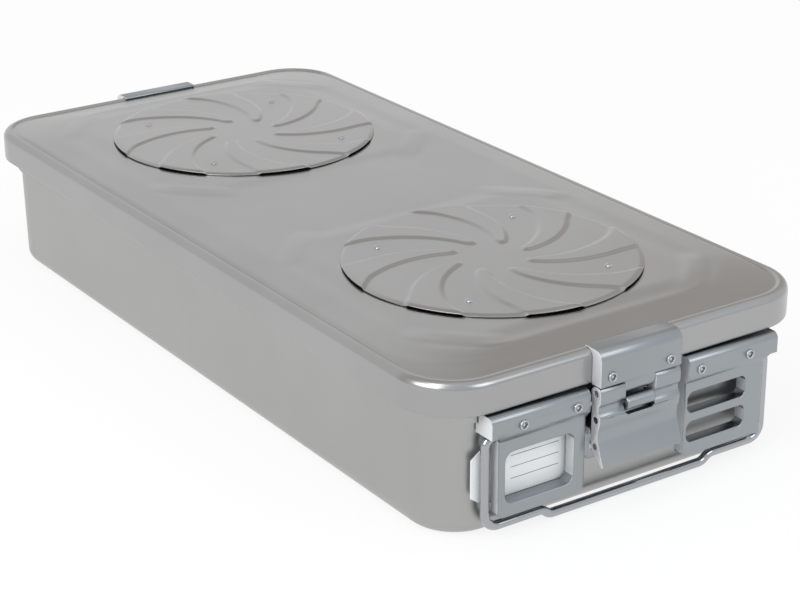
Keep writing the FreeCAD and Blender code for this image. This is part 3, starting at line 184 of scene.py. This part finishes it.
def add_camera():
    """Puts the camera where the photograph was taken from."""
    a = CAMERA_AZIMUTH
    e = CAMERA_ELEVATION
    back = Vector((math.sin(a) * math.cos(e), -math.cos(a) * math.cos(e), math.sin(e)))
    right = (-back).cross(Vector((0, 0, 1))).normalized()
    up = right.cross(-back)
    c = math.cos(CAMERA_ROLL)
    s = math.sin(CAMERA_ROLL)
    axes = Matrix((c * right + s * up, c * up - s * right, back)).transposed()
    data = bpy.data.cameras.new("camera")
    data.sensor_width = SENSOR_WIDTH
    data.lens = FOCAL_PIXELS / IMAGE_WIDTH * SENSOR_WIDTH
    data.clip_start = NEAREST_SEEN
    data.clip_end = FURTHEST_SEEN
    camera = bpy.data.objects.new("camera", data)
    camera.matrix_world = Matrix.Translation(CAMERA_PLACE) @ axes.to_4x4()
    bpy.context.scene.collection.objects.link(camera)
    bpy.context.scene.camera = camera


# Node helpers


def new_material(name):
    """A material with its node tree and its main shader."""
    material = bpy.data.materials.new(name)
    material.use_nodes = True
    tree = material.node_tree
    return material, tree, tree.nodes["Principled BSDF"]


def add(tree, kind, **settings):
    """Adds a node. Keys with a leading capital name input sockets, the rest are properties."""
    node = tree.nodes.new("ShaderNode" + kind)
    for key, value in settings.items():
        if key[0].isupper():
            node.inputs[key.replace("_", " ")].default_value = value
        else:
            setattr(node, key, value)
    return node


def link(tree, source, output, target, socket):
    """Feeds an output of one node to an input of another."""
    tree.links.new(source.outputs[output], target.inputs[socket])


def ramp(tree, source, output, stops):
    """A colour ramp fed by a value. Stops are (position, colour)."""
    node = tree.nodes.new("ShaderNodeValToRGB")
    elements = node.color_ramp.elements
    while len(elements) < len(stops):
        elements.new(0.5)
    for element, (position, colour) in zip(elements, stops):
        element.position = position
        element.color = (*colour, 1.0)
    link(tree, source, output, node, "Fac")
    return node


def product(tree, first, second):
    """The product of the first outputs of two nodes."""
    node = add(tree, "Math", operation="MULTIPLY")
    link(tree, first, 0, node, 0)
    link(tree, second, 0, node, 1)
    return node


def scaled(tree, source, output, factor):
    """A value times a fixed factor."""
    node = add(tree, "Math", operation="MULTIPLY")
    node.inputs[1].default_value = factor
    link(tree, source, output, node, 0)
    return node


def object_coordinates(tree, scale=(1, 1, 1)):
    """Object coordinates, stretched by a scale."""
    coordinates = add(tree, "TexCoord")
    mapping = add(tree, "Mapping")
    mapping.inputs["Scale"].default_value = scale
    link(tree, coordinates, "Object", mapping, "Vector")
    return mapping


def metal(name, colour, roughness, spread=0.02, tone=0.04, grain=900.0, grain_depth=0.002, streak=(1, 1, 1)):
    """Anodised or polished metal: slow tone variation, fine grain that may be streaked, uneven gloss."""
    material, tree, shader = new_material(name)
    shader.inputs["Metallic"].default_value = 1.0
    place = object_coordinates(tree)
    slow = add(tree, "TexNoise", Scale=9.0, Detail=3.0, Roughness=0.55)
    link(tree, place, "Vector", slow, "Vector")
    low = tuple(value * (1 - tone) for value in colour)
    high = tuple(min(value * (1 + tone), 1.0) for value in colour)
    tint = ramp(tree, slow, "Fac", ((0.3, low), (0.7, high)))
    link(tree, tint, "Color", shader, "Base Color")
    fine_place = object_coordinates(tree, streak)
    fine = add(tree, "TexNoise", Scale=grain, Detail=2.0, Roughness=0.6)
    link(tree, fine_place, "Vector", fine, "Vector")
    gloss = add(tree, "MapRange", To_Min=roughness - spread, To_Max=roughness + spread)
    link(tree, fine, "Fac", gloss, "Value")
    link(tree, gloss, "Result", shader, "Roughness")
    bump = add(tree, "Bump", Strength=0.25, Distance=grain_depth * MM)
    link(tree, fine, "Fac", bump, "Height")
    link(tree, bump, "Normal", shader, "Normal")
    return material


def soft(name, colour, roughness, grain, depth, tone=0.04):
    """A plain non-metal: rubber or filter fleece."""
    material, tree, shader = new_material(name)
    place = object_coordinates(tree)
    fine = add(tree, "TexNoise", Scale=grain, Detail=3.0)
    link(tree, place, "Vector", fine, "Vector")
    low = tuple(value * (1 - tone) for value in colour)
    tint = ramp(tree, fine, "Fac", ((0.35, low), (0.65, colour)))
    link(tree, tint, "Color", shader, "Base Color")
    shader.inputs["Roughness"].default_value = roughness
    bump = add(tree, "Bump", Strength=0.3, Distance=depth * MM)
    link(tree, fine, "Fac", bump, "Height")
    link(tree, bump, "Normal", shader, "Normal")
    return material


def stripe(tree, source, output, limits, fade):
    """1 between two limits of a value, 0 outside them."""
    low, high = limits
    rising = add(tree, "MapRange", From_Min=low - fade, From_Max=low + fade)
    falling = add(tree, "MapRange", From_Min=high - fade, From_Max=high + fade, To_Min=1.0, To_Max=0.0)
    link(tree, source, output, rising, "Value")
    link(tree, source, output, falling, "Value")
    return product(tree, rising, falling)


def ruled_card(name):
    """White card with a few thin grey rules behind the window, as a form to fill in."""
    material, tree, shader = new_material(name)
    place = object_coordinates(tree)
    fibre = add(tree, "TexNoise", Scale=700.0, Detail=3.0)
    link(tree, place, "Vector", fibre, "Vector")
    paper = ramp(tree, fibre, "Fac", ((0.3, (0.80, 0.81, 0.82)), (0.7, (0.84, 0.85, 0.86))))
    split = add(tree, "SeparateXYZ")
    link(tree, place, "Vector", split, "Vector")
    across = stripe(tree, split, "X", RULES_ACROSS, RULE_FADE)
    up = stripe(tree, split, "Z", RULES_UP, RULE_FADE)
    rows = scaled(tree, split, "Z", 1 / RULE_ROW)
    part = add(tree, "Math", operation="FRACT")
    link(tree, rows, "Value", part, 0)
    rule = stripe(tree, part, "Value", RULE_BAND, RULE_BAND_FADE)
    printed = product(tree, product(tree, across, up), rule)
    ink = tree.nodes.new("ShaderNodeMix")
    ink.data_type = "RGBA"
    link(tree, printed, "Value", ink, 0)
    link(tree, paper, "Color", ink, MIX_FIRST)
    ink.inputs[MIX_SECOND].default_value = (0.12, 0.13, 0.14, 1)
    link(tree, ink, MIX_RESULT, shader, "Base Color")
    shader.inputs["Roughness"].default_value = 0.4
    return material


LOOKS = {
    "pan": metal("pan_anodised", (0.41, 0.41, 0.405), 0.36, tone=0.03, grain=260.0, streak=(1, 1, 0.04)),
    "lid": metal("lid_anodised", (0.385, 0.385, 0.385), 0.25),
    "fitting": metal("fitting_anodised", (0.33, 0.352, 0.37), 0.33, tone=0.03, grain=500.0,
                     grain_depth=0.003, streak=(0.06, 1, 1)),
    "rivet": metal("rivet_bright", (0.46, 0.47, 0.49), 0.18, grain=1500.0),
    "wire": metal("wire_polished", (0.40, 0.41, 0.43), 0.06, grain_depth=0.001, streak=(0.1, 1, 1)),
    "steel": metal("steel_satin", (0.48, 0.48, 0.49), 0.28),
    "gasket": soft("gasket_silicone", (0.34, 0.34, 0.33), 0.55, 500.0, 0.02),
    "filter": soft("filter_fleece", (0.80, 0.80, 0.77), 0.85, 900.0, 0.05),
    "card": ruled_card("card_white"),
}

# Cut ends facing along X: bare metal, made much brighter than the anodised faces as a painted highlight for
# the lamp on the left.
RAW_CUT_AND_PAINTED_HIGHLIGHT = metal("raw_cut_painted_highlight", (0.70, 0.71, 0.72), 0.45, grain=1200.0)
RAW_CUT_AND_PAINTED_HIGHLIGHT.node_tree.nodes["Principled BSDF"].inputs["Metallic"].default_value = 0.45


def dress_nodes():
    """Gives every carried-over node the material of its slot."""
    slots = {entry["node"]: entry["material_slot"] for entry in frame["record"]["subparts"]}
    for name, node in nodes.items():
        node.data.materials.clear()
        node.data.materials.append(LOOKS[slots[name]])


# Shape helpers


def smooth_step(low, high, value):
    """0 below the low limit, 1 above the high one, smooth between them."""
    share = min(max((value - low) / (high - low), 0.0), 1.0)
    return share * share * (3 - 2 * share)


def finish_piece(name, bm, slot, body, replaced, flat_angle=None):
    """Turns a bmesh in metres into a shaded piece that rides on a body and stands for CAD nodes."""
    mesh = bpy.data.meshes.new(name)
    bm.to_mesh(mesh)
    bm.free()
    mesh.shade_smooth()
    if flat_angle is not None:
        mesh.set_sharp_from_angle(angle=math.radians(flat_angle))
    piece = bpy.data.objects.new(name, mesh)
    bpy.context.scene.collection.objects.link(piece)
    mesh.materials.append(LOOKS[slot])
    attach(piece, body)
    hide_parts(*replaced)
    return piece


def chain(bm, points):
    """A few vertices joined by edges."""
    vertices = [bm.verts.new(point) for point in points]
    edges = [bm.edges.new(pair) for pair in zip(vertices, vertices[1:])]
    return vertices + edges


def turn_profile(bm, profile, place, axis, steps):
    """Spins a (radius, height) profile in millimetres about an axis through a place."""
    axis = Vector(axis)
    across = axis.orthogonal().normalized()
    place = Vector(place) * MM
    points = [place + across * (radius * MM) + axis * (height * MM) for radius, height in profile]
    bmesh.ops.spin(bm, geom=chain(bm, points), cent=place, axis=axis, angle=math.tau, steps=steps,
                   use_merge=True)


def repeat_round(bm, centre, sector, doublings):
    """Doubles a sector round a vertical axis, each time next to what is there."""
    for _ in range(doublings):
        copy = bmesh.ops.duplicate(bm, geom=bm.verts[:] + bm.edges[:] + bm.faces[:])["geom"]
        fresh = [item for item in copy if isinstance(item, bmesh.types.BMVert)]
        bmesh.ops.rotate(bm, verts=fresh, cent=centre, matrix=Matrix.Rotation(sector, 3, "Z"))
        sector *= 2
    bmesh.ops.remove_doubles(bm, verts=bm.verts, dist=MERGE)


def turned_pieces(name, profile, places, axis, slot, body, replaced, steps):
    """One piece made of equal turned shells."""
    bm = bmesh.new()
    for place in places:
        turn_profile(bm, profile, place, axis, steps)
    bmesh.ops.remove_doubles(bm, verts=bm.verts, dist=MERGE)
    bmesh.ops.recalc_face_normals(bm, faces=bm.faces)
    return finish_piece(name, bm, slot, body, replaced, TURNED_CREASE)


# Lid


def outline_point(index, half_x, half_y, corner):
    """A point of a rounded rectangle, counted round it with the same count of steps on each side."""
    corner = max(corner, SMALLEST_CORNER)
    for side, count in enumerate(OUTLINE_SIDES * 2):
        if index < count:
            break
        index -= count
    share = index / count
    quarter = side // 2
    run_x = half_x - corner
    run_y = half_y - corner
    if side % 2 == 1:
        angle = math.pi / 2 * (quarter + share - 1)
        across, along = ((1, -1), (1, 1), (-1, 1), (-1, -1))[quarter]
        return (across * run_x + corner * math.cos(angle), along * run_y + corner * math.sin(angle))
    step = 2 * share - 1
    return ((run_x * step, -half_y), (half_x, run_y * step),
            (-run_x * step, half_y), (-half_x, -run_y * step))[quarter]


def field_height(x, y):
    """How far the press raised the lid at a place: two soft square fields and crescents at their corners."""
    along = abs(y) - FIELD_CENTRE
    inner = FIELD_HALF - FIELD_CORNER
    past_x = max(abs(x) - inner, 0.0)
    past_y = max(abs(along) - inner, 0.0)
    outside = math.hypot(past_x, past_y) + min(max(abs(x) - inner, abs(along) - inner), 0.0) - FIELD_CORNER
    height = FIELD_RISE * smooth_step(0.0, FIELD_FLANK, -outside)
    off_radius = abs(math.hypot(x, along) - CRESCENT_RADIUS)
    if off_radius < CRESCENT_HALF_WIDTH:
        angle = math.degrees(math.atan2(abs(along), abs(x)))
        across = off_radius / CRESCENT_HALF_WIDTH
        around = abs(angle - CRESCENT_ANGLE) / CRESCENT_HALF_ANGLE
        height += (CRESCENT_RISE * (1 - smooth_step(CRESCENT_WIDTH_CORE, 1.0, across))
                   * (1 - smooth_step(CRESCENT_ANGLE_CORE, 1.0, around)))
    return height


def plateau_level(inset, height):
    """A level of the plateau, whose corners shrink evenly towards the middle line."""
    corner = PLATEAU_CORNER * (LID_HALF[0] - inset) / (LID_HALF[0] - PLATEAU_INSET)
    return inset, inset + PLATEAU_END, corner, height


def softened(levels, steps=3):
    """A smooth run along the corners of a section, as a quadratic spline takes it."""
    run = []
    for first, second, third in zip(levels, levels[1:], levels[2:]):
        for step in range(steps):
            t = step / steps
            a = 0.5 * (1 - t) ** 2
            b = 0.5 + t * (1 - t)
            c = 0.5 * t ** 2
            run.append(tuple(a * u + b * v + c * w for u, v, w in zip(first, second, third)))
    return run


def lid_levels():
    """The lid's section from the middle of the underside round the skirt to the middle of the top.

    A level is its side inset, its end inset, its corner radius and its height.
    """
    plateau_under = [plateau_level(inset, PLATEAU_UNDERSIDE) for inset in
                     (MIDDLE_INSET, 120.0, 100.0, 80.0, 60.0, 50.0, 42.0, 36.0, 32.0, PLATEAU_INSET)]
    trough_under = [(18.0, 26.0, 45.0, 101.2), (8.6, 20.0, 45.8, 100.4), (8.0, 14.0, 40.0, 99.6),
                    (7.6, 8.0, 33.0, 98.75), (6.0, 6.0, 33.0, 98.7), (2.4, 2.4, 36.6, 98.6)]
    skirt_inside = [(2.0, 2.0, 37.0, 98.2), (2.0, 2.0, 37.0, 90.0), (2.0, 2.0, 37.0, 82.0),
                    (1.7, 1.7, 37.3, 81.4), (1.2, 1.2, 37.8, 81.2)]
    skirt = [(0.7, 0.7, 38.3, 81.2), (0.1, 0.1, 38.9, 81.35), (0.0, 0.0, LID_CORNER, 82.2),
             (0.0, 0.0, LID_CORNER, 88.0), (0.0, 0.0, LID_CORNER, 94.0), (0.0, 0.0, LID_CORNER, 96.4)]
    bead = []
    for degrees in (12, 30, 48, 66, 84):
        angle = math.radians(degrees)
        inset = BEAD_RADIUS - BEAD_RADIUS * math.cos(angle)
        bead.append((inset, inset, LID_CORNER - inset, BEAD_CENTRE + BEAD_RADIUS * math.sin(angle)))
    trough = [(5.7, 5.7, 33.3, 101.68), (6.3, 6.4, 32.7, 101.3), (6.8, 7.0, 32.2, 100.85),
              (7.3, 8.0, 32.0, 100.75), (7.6, 9.6, 33.5, 100.95), (7.9, 13.0, 38.0, 101.45)]
    slope = [(8.3, 17.0, 43.0, 101.95), (9.4, 20.4, 45.8, 102.38), (12.0, 22.0, 45.8, 102.65),
             (16.0, 24.6, 45.3, 103.0), (20.0, 27.0, 44.8, 103.38), (24.0, 29.4, 44.4, 103.72),
             (27.0, 31.4, 44.1, 103.93), (30.0, 34.0, 43.4, 104.0), (33.0, 37.0, 42.4, 104.0)]
    levels = plateau_under + trough_under + skirt_inside + softened(skirt + bead + trough + slope)
    inset = PLATEAU_START
    while inset < MIDDLE_INSET - 1.0:
        levels.append(plateau_level(inset, PLATEAU_TOP))
        inset += PLATEAU_STEP
    levels.append(plateau_level(MIDDLE_INSET, PLATEAU_TOP))
    return levels


def grow_ring(bm, ring, edges, points):
    """Extrudes a ring of vertices and puts the new ring at its points."""
    grown = bmesh.ops.extrude_edge_only(bm, edges=edges)["geom"]
    fresh = {item for item in grown if isinstance(item, bmesh.types.BMVert)}
    following = []
    for vertex, point in zip(ring, points):
        neighbours = [edge.other_vert(vertex) for edge in vertex.link_edges]
        partner = next(neighbour for neighbour in neighbours if neighbour in fresh)
        partner.co = point
        following.append(partner)
    return following, [item for item in grown if isinstance(item, bmesh.types.BMEdge)
                       and item.verts[0] in fresh and item.verts[1] in fresh]


def build_lid():
    """The drawn lid: one closed outline, extruded from level to level and pressed at the fields."""
    bm = bmesh.new()

    def ring_points(level):
        """The points of one level's outline, in metres, with the press work in them."""
        side, end, corner, height = level
        for index in range(OUTLINE_STEPS):
            x, y = outline_point(index, LID_HALF[0] - side, LID_HALF[1] - end, corner)
            rise = field_height(x, y) if side > PRESSED_FROM else 0.0
            yield Vector((x, y, height + rise)) * MM

    levels = lid_levels()
    ring = [bm.verts.new(point) for point in ring_points(levels[0])]
    edges = [bm.edges.new((ring[index - 1], ring[index])) for index in range(OUTLINE_STEPS)]
    for level in levels[1:]:
        ring, edges = grow_ring(bm, ring, edges, ring_points(level))
    bmesh.ops.remove_doubles(bm, verts=bm.verts, dist=MIDDLE_MERGE)
    bmesh.ops.recalc_face_normals(bm, faces=bm.faces)
    return finish_piece("lid_sheet", bm, "lid", "lid", ["lid_shell"])


# Covers


def vane_depth(radius, angle):
    """How far inside the nearest vane's outline a point of a cover lies, in millimetres."""
    pitch = 360.0 / VANE_COUNT
    share = min(max((radius - VANE_TIP) / (COVER_RADIUS - VANE_TIP), 0.0), 1.0)
    lead = VANE_SWEEP * share ** VANE_BEND - VANE_SWEEP / 2
    half = VANE_HALF_ANGLE + VANE_FLARE * smooth_step(VANE_FLARE_FROM, COVER_RADIUS, radius)
    turn = (angle - VANE_TURN - lead + pitch / 2) % pitch - pitch / 2
    side = math.radians(half - abs(turn)) * radius
    tip = radius - VANE_TIP
    round_side = max(VANE_ROUND - side, 0.0)
    round_tip = max(VANE_ROUND - tip, 0.0)
    if round_side > 0 and round_tip > 0:
        return VANE_ROUND - math.hypot(round_side, round_tip)
    return min(side, tip)


def cover_height(radius, angle):
    """The cover's top above its flat: pressed vanes, and a rim turned down to the lid between them."""
    vane = smooth_step(*VANE_FLANK, vane_depth(radius, angle))
    rim = smooth_step(RIM_FROM, COVER_RADIUS, radius)
    return (VANE_RISE - RIM_DROP_VANE * rim) * vane - RIM_DROP_FLAT * rim * (1 - vane)


def cover_radii():
    """Where the rings of a cover's mesh lie: wide apart in the flat middle, close at the rim."""
    radii = [0.0, 5.0, 10.0, 15.0, 19.0]
    while radii[-1] < RIM_FROM:
        radii.append(radii[-1] + RING_STEP)
    return radii + [91.6, 92.6, EDGE_FROM, 93.8, COVER_RADIUS]


def build_cover(end, sign):
    """A round cover: a radius spun through one vane's sector and repeated, pressed, then made a sheet."""
    bm = bmesh.new()
    centre = Vector((0.0, -sign * FIELD_CENTRE, 0.0))
    sector = math.tau / VANE_COUNT
    spoke = chain(bm, [(centre + Vector((radius, 0.0, 0.0))) * MM for radius in cover_radii()])
    bmesh.ops.spin(bm, geom=spoke, cent=centre * MM, axis=(0, 0, 1), angle=sector, steps=SECTOR_STEPS)
    bmesh.ops.remove_doubles(bm, verts=bm.verts, dist=MERGE)
    repeat_round(bm, centre * MM, sector, COVER_DOUBLINGS)
    for vertex in bm.verts:
        x = vertex.co.x / MM * sign
        y = (vertex.co.y / MM - centre.y) * sign
        radius = math.hypot(x, y)
        height = cover_height(radius, math.degrees(math.atan2(y, x)))
        edge = max(radius - EDGE_FROM, 0.0)
        vertex.co.z = (COVER_UNDERSIDE + COVER_SHEET + height - EDGE_ROUND * edge * edge) * MM
    bmesh.ops.recalc_face_normals(bm, faces=bm.faces)
    if sum(face.normal.z for face in bm.faces) < 0:
        bmesh.ops.reverse_faces(bm, faces=bm.faces)
    piece = finish_piece("cover_sheet_" + end, bm, "lid", "lid", ["cover_" + end])
    sheet = piece.modifiers.new("sheet", "SOLIDIFY")
    sheet.thickness = COVER_SHEET * MM
    sheet.offset = -1.0
    return piece


# Rivets and sleeves


def hollow_rivet(length):
    """Section of a hollow rivet from its tail to the stub in its head, as radius and height over its seat."""
    return [(0.0, -length), (2.4, -length), (2.8, 0.4 - length), (2.8, 1.3 - length), (1.6, 1.4 - length),
            (1.6, -0.05), (3.15, 0.0), (3.15, 0.35), (3.0, 0.74), (2.72, 0.98), (2.38, 1.07), (2.06, 0.96),
            (1.88, 0.62), (1.8, -0.9), (1.25, -0.9), (1.15, -0.1), (0.95, 0.2), (0.5, 0.34), (0.0, 0.36)]


def build_rivets(end, sign):
    """Hollow rivets through the bars and through the bracket."""
    axis = (0, -sign, 0)
    bars = [(x * sign, -BAR_FACE * sign, BAR_RIVET_HEIGHT) for x in BAR_RIVETS]
    turned_pieces("bar_rivets_" + end, hollow_rivet(BAR_RIVET_LENGTH), bars, axis, "rivet", "base",
                  ["end_rivets_" + end], RIVET_STEPS)
    bracket = [(x * sign, -BRACKET_FACE * sign, BRACKET_RIVET_HEIGHT)
               for x in (LATCH_CENTRE - BRACKET_RIVET_OFFSET, LATCH_CENTRE + BRACKET_RIVET_OFFSET)]
    turned_pieces("rim_rivets_" + end, hollow_rivet(BRACKET_RIVET_LENGTH), bracket, axis, "rivet", "lid",
                  ["bracket_rivets_" + end], RIVET_STEPS)


def build_sleeve(end, sign):
    """The rolled sleeve across the latch's window, with rounded ends and its pin showing."""
    near_end = [(0.0, 0.3), (1.3, 0.3), (1.45, 0.15), (1.5, 0.6), (3.3, 0.0), (3.9, 0.2), (4.18, 0.75),
                (4.2, 1.4)]
    profile = near_end + [(radius, SLEEVE_LENGTH - height) for radius, height in reversed(near_end)]
    start = LATCH_CENTRE - SLEEVE_SHIFT - SLEEVE_LENGTH / 2
    place = (start * sign, -SLEEVE_FACE * sign, SLEEVE_HEIGHT)
    turned_pieces("latch_sleeve_" + end, profile, [place], (sign, 0, 0), "fitting", "latch_" + end,
                  ["seal_sleeve_" + end], SLEEVE_STEPS)


# Plates, latches and brackets


def build_softened(name, source, slot, body, width=SHEET_BEVEL, kept_in=False):
    """A sheet fitting with broken edges, as tumbled metal has them, and raw cut ends with a painted
    highlight.
    """
    bm = bmesh.new()
    bm.from_mesh(nodes[source].data)
    bmesh.ops.remove_doubles(bm, verts=bm.verts, dist=MERGE)
    bmesh.ops.dissolve_limit(bm, angle_limit=math.radians(FLAT_WITHIN), verts=bm.verts, edges=bm.edges)
    bm.normal_update()
    for face in bm.faces:
        # Faces along X get the bright cut-end colour, a painted highlight as much as bare metal.
        if abs(face.normal.x) > CUT_AND_HIGHLIGHT_FACING:
            face.material_index = 1
    piece = finish_piece(name, bm, slot, body, [source])
    piece.data.materials.append(RAW_CUT_AND_PAINTED_HIGHLIGHT)
    edge = piece.modifiers.new("broken_edges", "BEVEL")
    edge.width = width * MM
    edge.segments = 2
    edge.limit_method = "ANGLE"
    edge.angle_limit = math.radians(BEVEL_FROM)
    edge.use_clamp_overlap = kept_in
    edge.harden_normals = True
    return piece


def build_card():
    """The label card: a strip of card with its pulled end trimmed at the corners."""
    bm = bmesh.new()
    trim_x, trim_z = CARD_TRIM
    outline = ((CARD_INNER, CARD_LOW), (CARD_INNER, CARD_HIGH), (CARD_OUTER + trim_x, CARD_HIGH),
               (CARD_OUTER, CARD_HIGH - trim_z), (CARD_OUTER, CARD_LOW + trim_z),
               (CARD_OUTER + trim_x, CARD_LOW))
    corners = [bm.verts.new(Vector((x, -CARD_FACE, z)) * MM) for x, z in outline]
    sheet = bm.faces.new(corners)
    grown = bmesh.ops.extrude_face_region(bm, geom=[sheet])["geom"]
    back = [item for item in grown if isinstance(item, bmesh.types.BMVert)]
    bmesh.ops.translate(bm, verts=back, vec=(0, CARD_THICKNESS * MM, 0))
    bmesh.ops.recalc_face_normals(bm, faces=bm.faces)
    finish_piece("ruled_label_card", bm, "card", "label_card", ["label_card"], CARD_CREASE)


def build_fittings(end):
    """The plates, catch, bracket and latch of one end. The plates' bevels are kept from overlapping."""
    build_softened("label_frame_" + end, "label_plate_" + end, "fitting", "base", PLATE_BEVEL, True)
    build_softened("slotted_frame_" + end, "slot_plate_" + end, "fitting", "base", PLATE_BEVEL, True)
    build_softened("catch_strip_" + end, "catch_" + end, "fitting", "base")
    build_softened("rim_bracket_" + end, "lid_bracket_" + end, "fitting", "lid")
    build_softened("wavy_latch_" + end, "latch_" + end, "fitting", "latch_" + end)


# Studio


def background_share(tree, amount):
    """An amount for camera, glossy and transmission rays alike, none for the rest."""
    path = add(tree, "LightPath")
    mirror = add(tree, "Math", operation="MAXIMUM")
    link(tree, path, "Is Glossy Ray", mirror, 0)
    link(tree, path, "Is Transmission Ray", mirror, 1)
    seen = add(tree, "Math", operation="MAXIMUM")
    link(tree, path, "Is Camera Ray", seen, 0)
    link(tree, mirror, "Value", seen, 1)
    return scaled(tree, seen, "Value", amount)


def add_floor():
    """A white floor that keeps the object's shadow and looks the same in mirror-like surfaces."""
    bm = bmesh.new()
    bmesh.ops.create_grid(bm, x_segments=1, y_segments=1, size=FLOOR_HALF)
    mesh = bpy.data.meshes.new("floor")
    bm.to_mesh(mesh)
    bm.free()
    floor = bpy.data.objects.new("floor", mesh)
    bpy.context.scene.collection.objects.link(floor)
    material, tree, shader = new_material("floor_white")
    shader.inputs["Roughness"].default_value = 0.9
    shader.inputs["Specular IOR Level"].default_value = 0.0
    glow = add(tree, "Emission", Strength=1.0)
    glow.inputs["Color"].default_value = (1, 1, 1, 1)
    shader.inputs["Base Color"].default_value = FLOOR_TONE
    share = background_share(tree, FLOOR_GLOW)
    mix = add(tree, "MixShader")
    link(tree, share, "Value", mix, 0)
    link(tree, shader, 0, mix, 1)
    link(tree, glow, 0, mix, 2)
    link(tree, mix, 0, tree.nodes["Material Output"], "Surface")
    mesh.materials.append(material)


def add_world():
    """A white studio whose tone follows the direction along Y: bluish in front, then white, then a dim brown
    band, and white again at the rear."""
    world = bpy.data.worlds.new("studio")
    bpy.context.scene.world = world
    world.use_nodes = True
    tree = world.node_tree
    background = tree.nodes["Background"]
    coordinates = add(tree, "TexCoord")
    split = add(tree, "SeparateXYZ")
    link(tree, coordinates, "Generated", split, "Vector")
    shift = add(tree, "MapRange", From_Min=-1.0, From_Max=1.0)
    link(tree, split, "Y", shift, "Value")
    room = ramp(tree, shift, "Result", ROOM_TONES)
    link(tree, room, "Color", background, "Color")
    background.inputs["Strength"].default_value = 1.0


def add_area(name, place, target, size, power):
    """A soft area lamp aimed at a point."""
    data = bpy.data.lights.new(name, "AREA")
    data.shape = "RECTANGLE"
    data.size, data.size_y = size
    data.energy = power
    lamp = bpy.data.objects.new(name, data)
    lamp.location = place
    lamp.rotation_mode = "QUATERNION"
    lamp.rotation_quaternion = (Vector(target) - Vector(place)).to_track_quat("-Z", "Y")
    bpy.context.scene.collection.objects.link(lamp)


dress_nodes()
build_lid()
build_card()
for end, sign in ENDS:
    build_cover(end, sign)
    build_rivets(end, sign)
    build_sleeve(end, sign)
    build_fittings(end)
add_floor()
add_world()
for lamp in LAMPS:
    add_area(*lamp)
add_camera()
bpy.context.scene.view_settings.view_transform = "Standard"
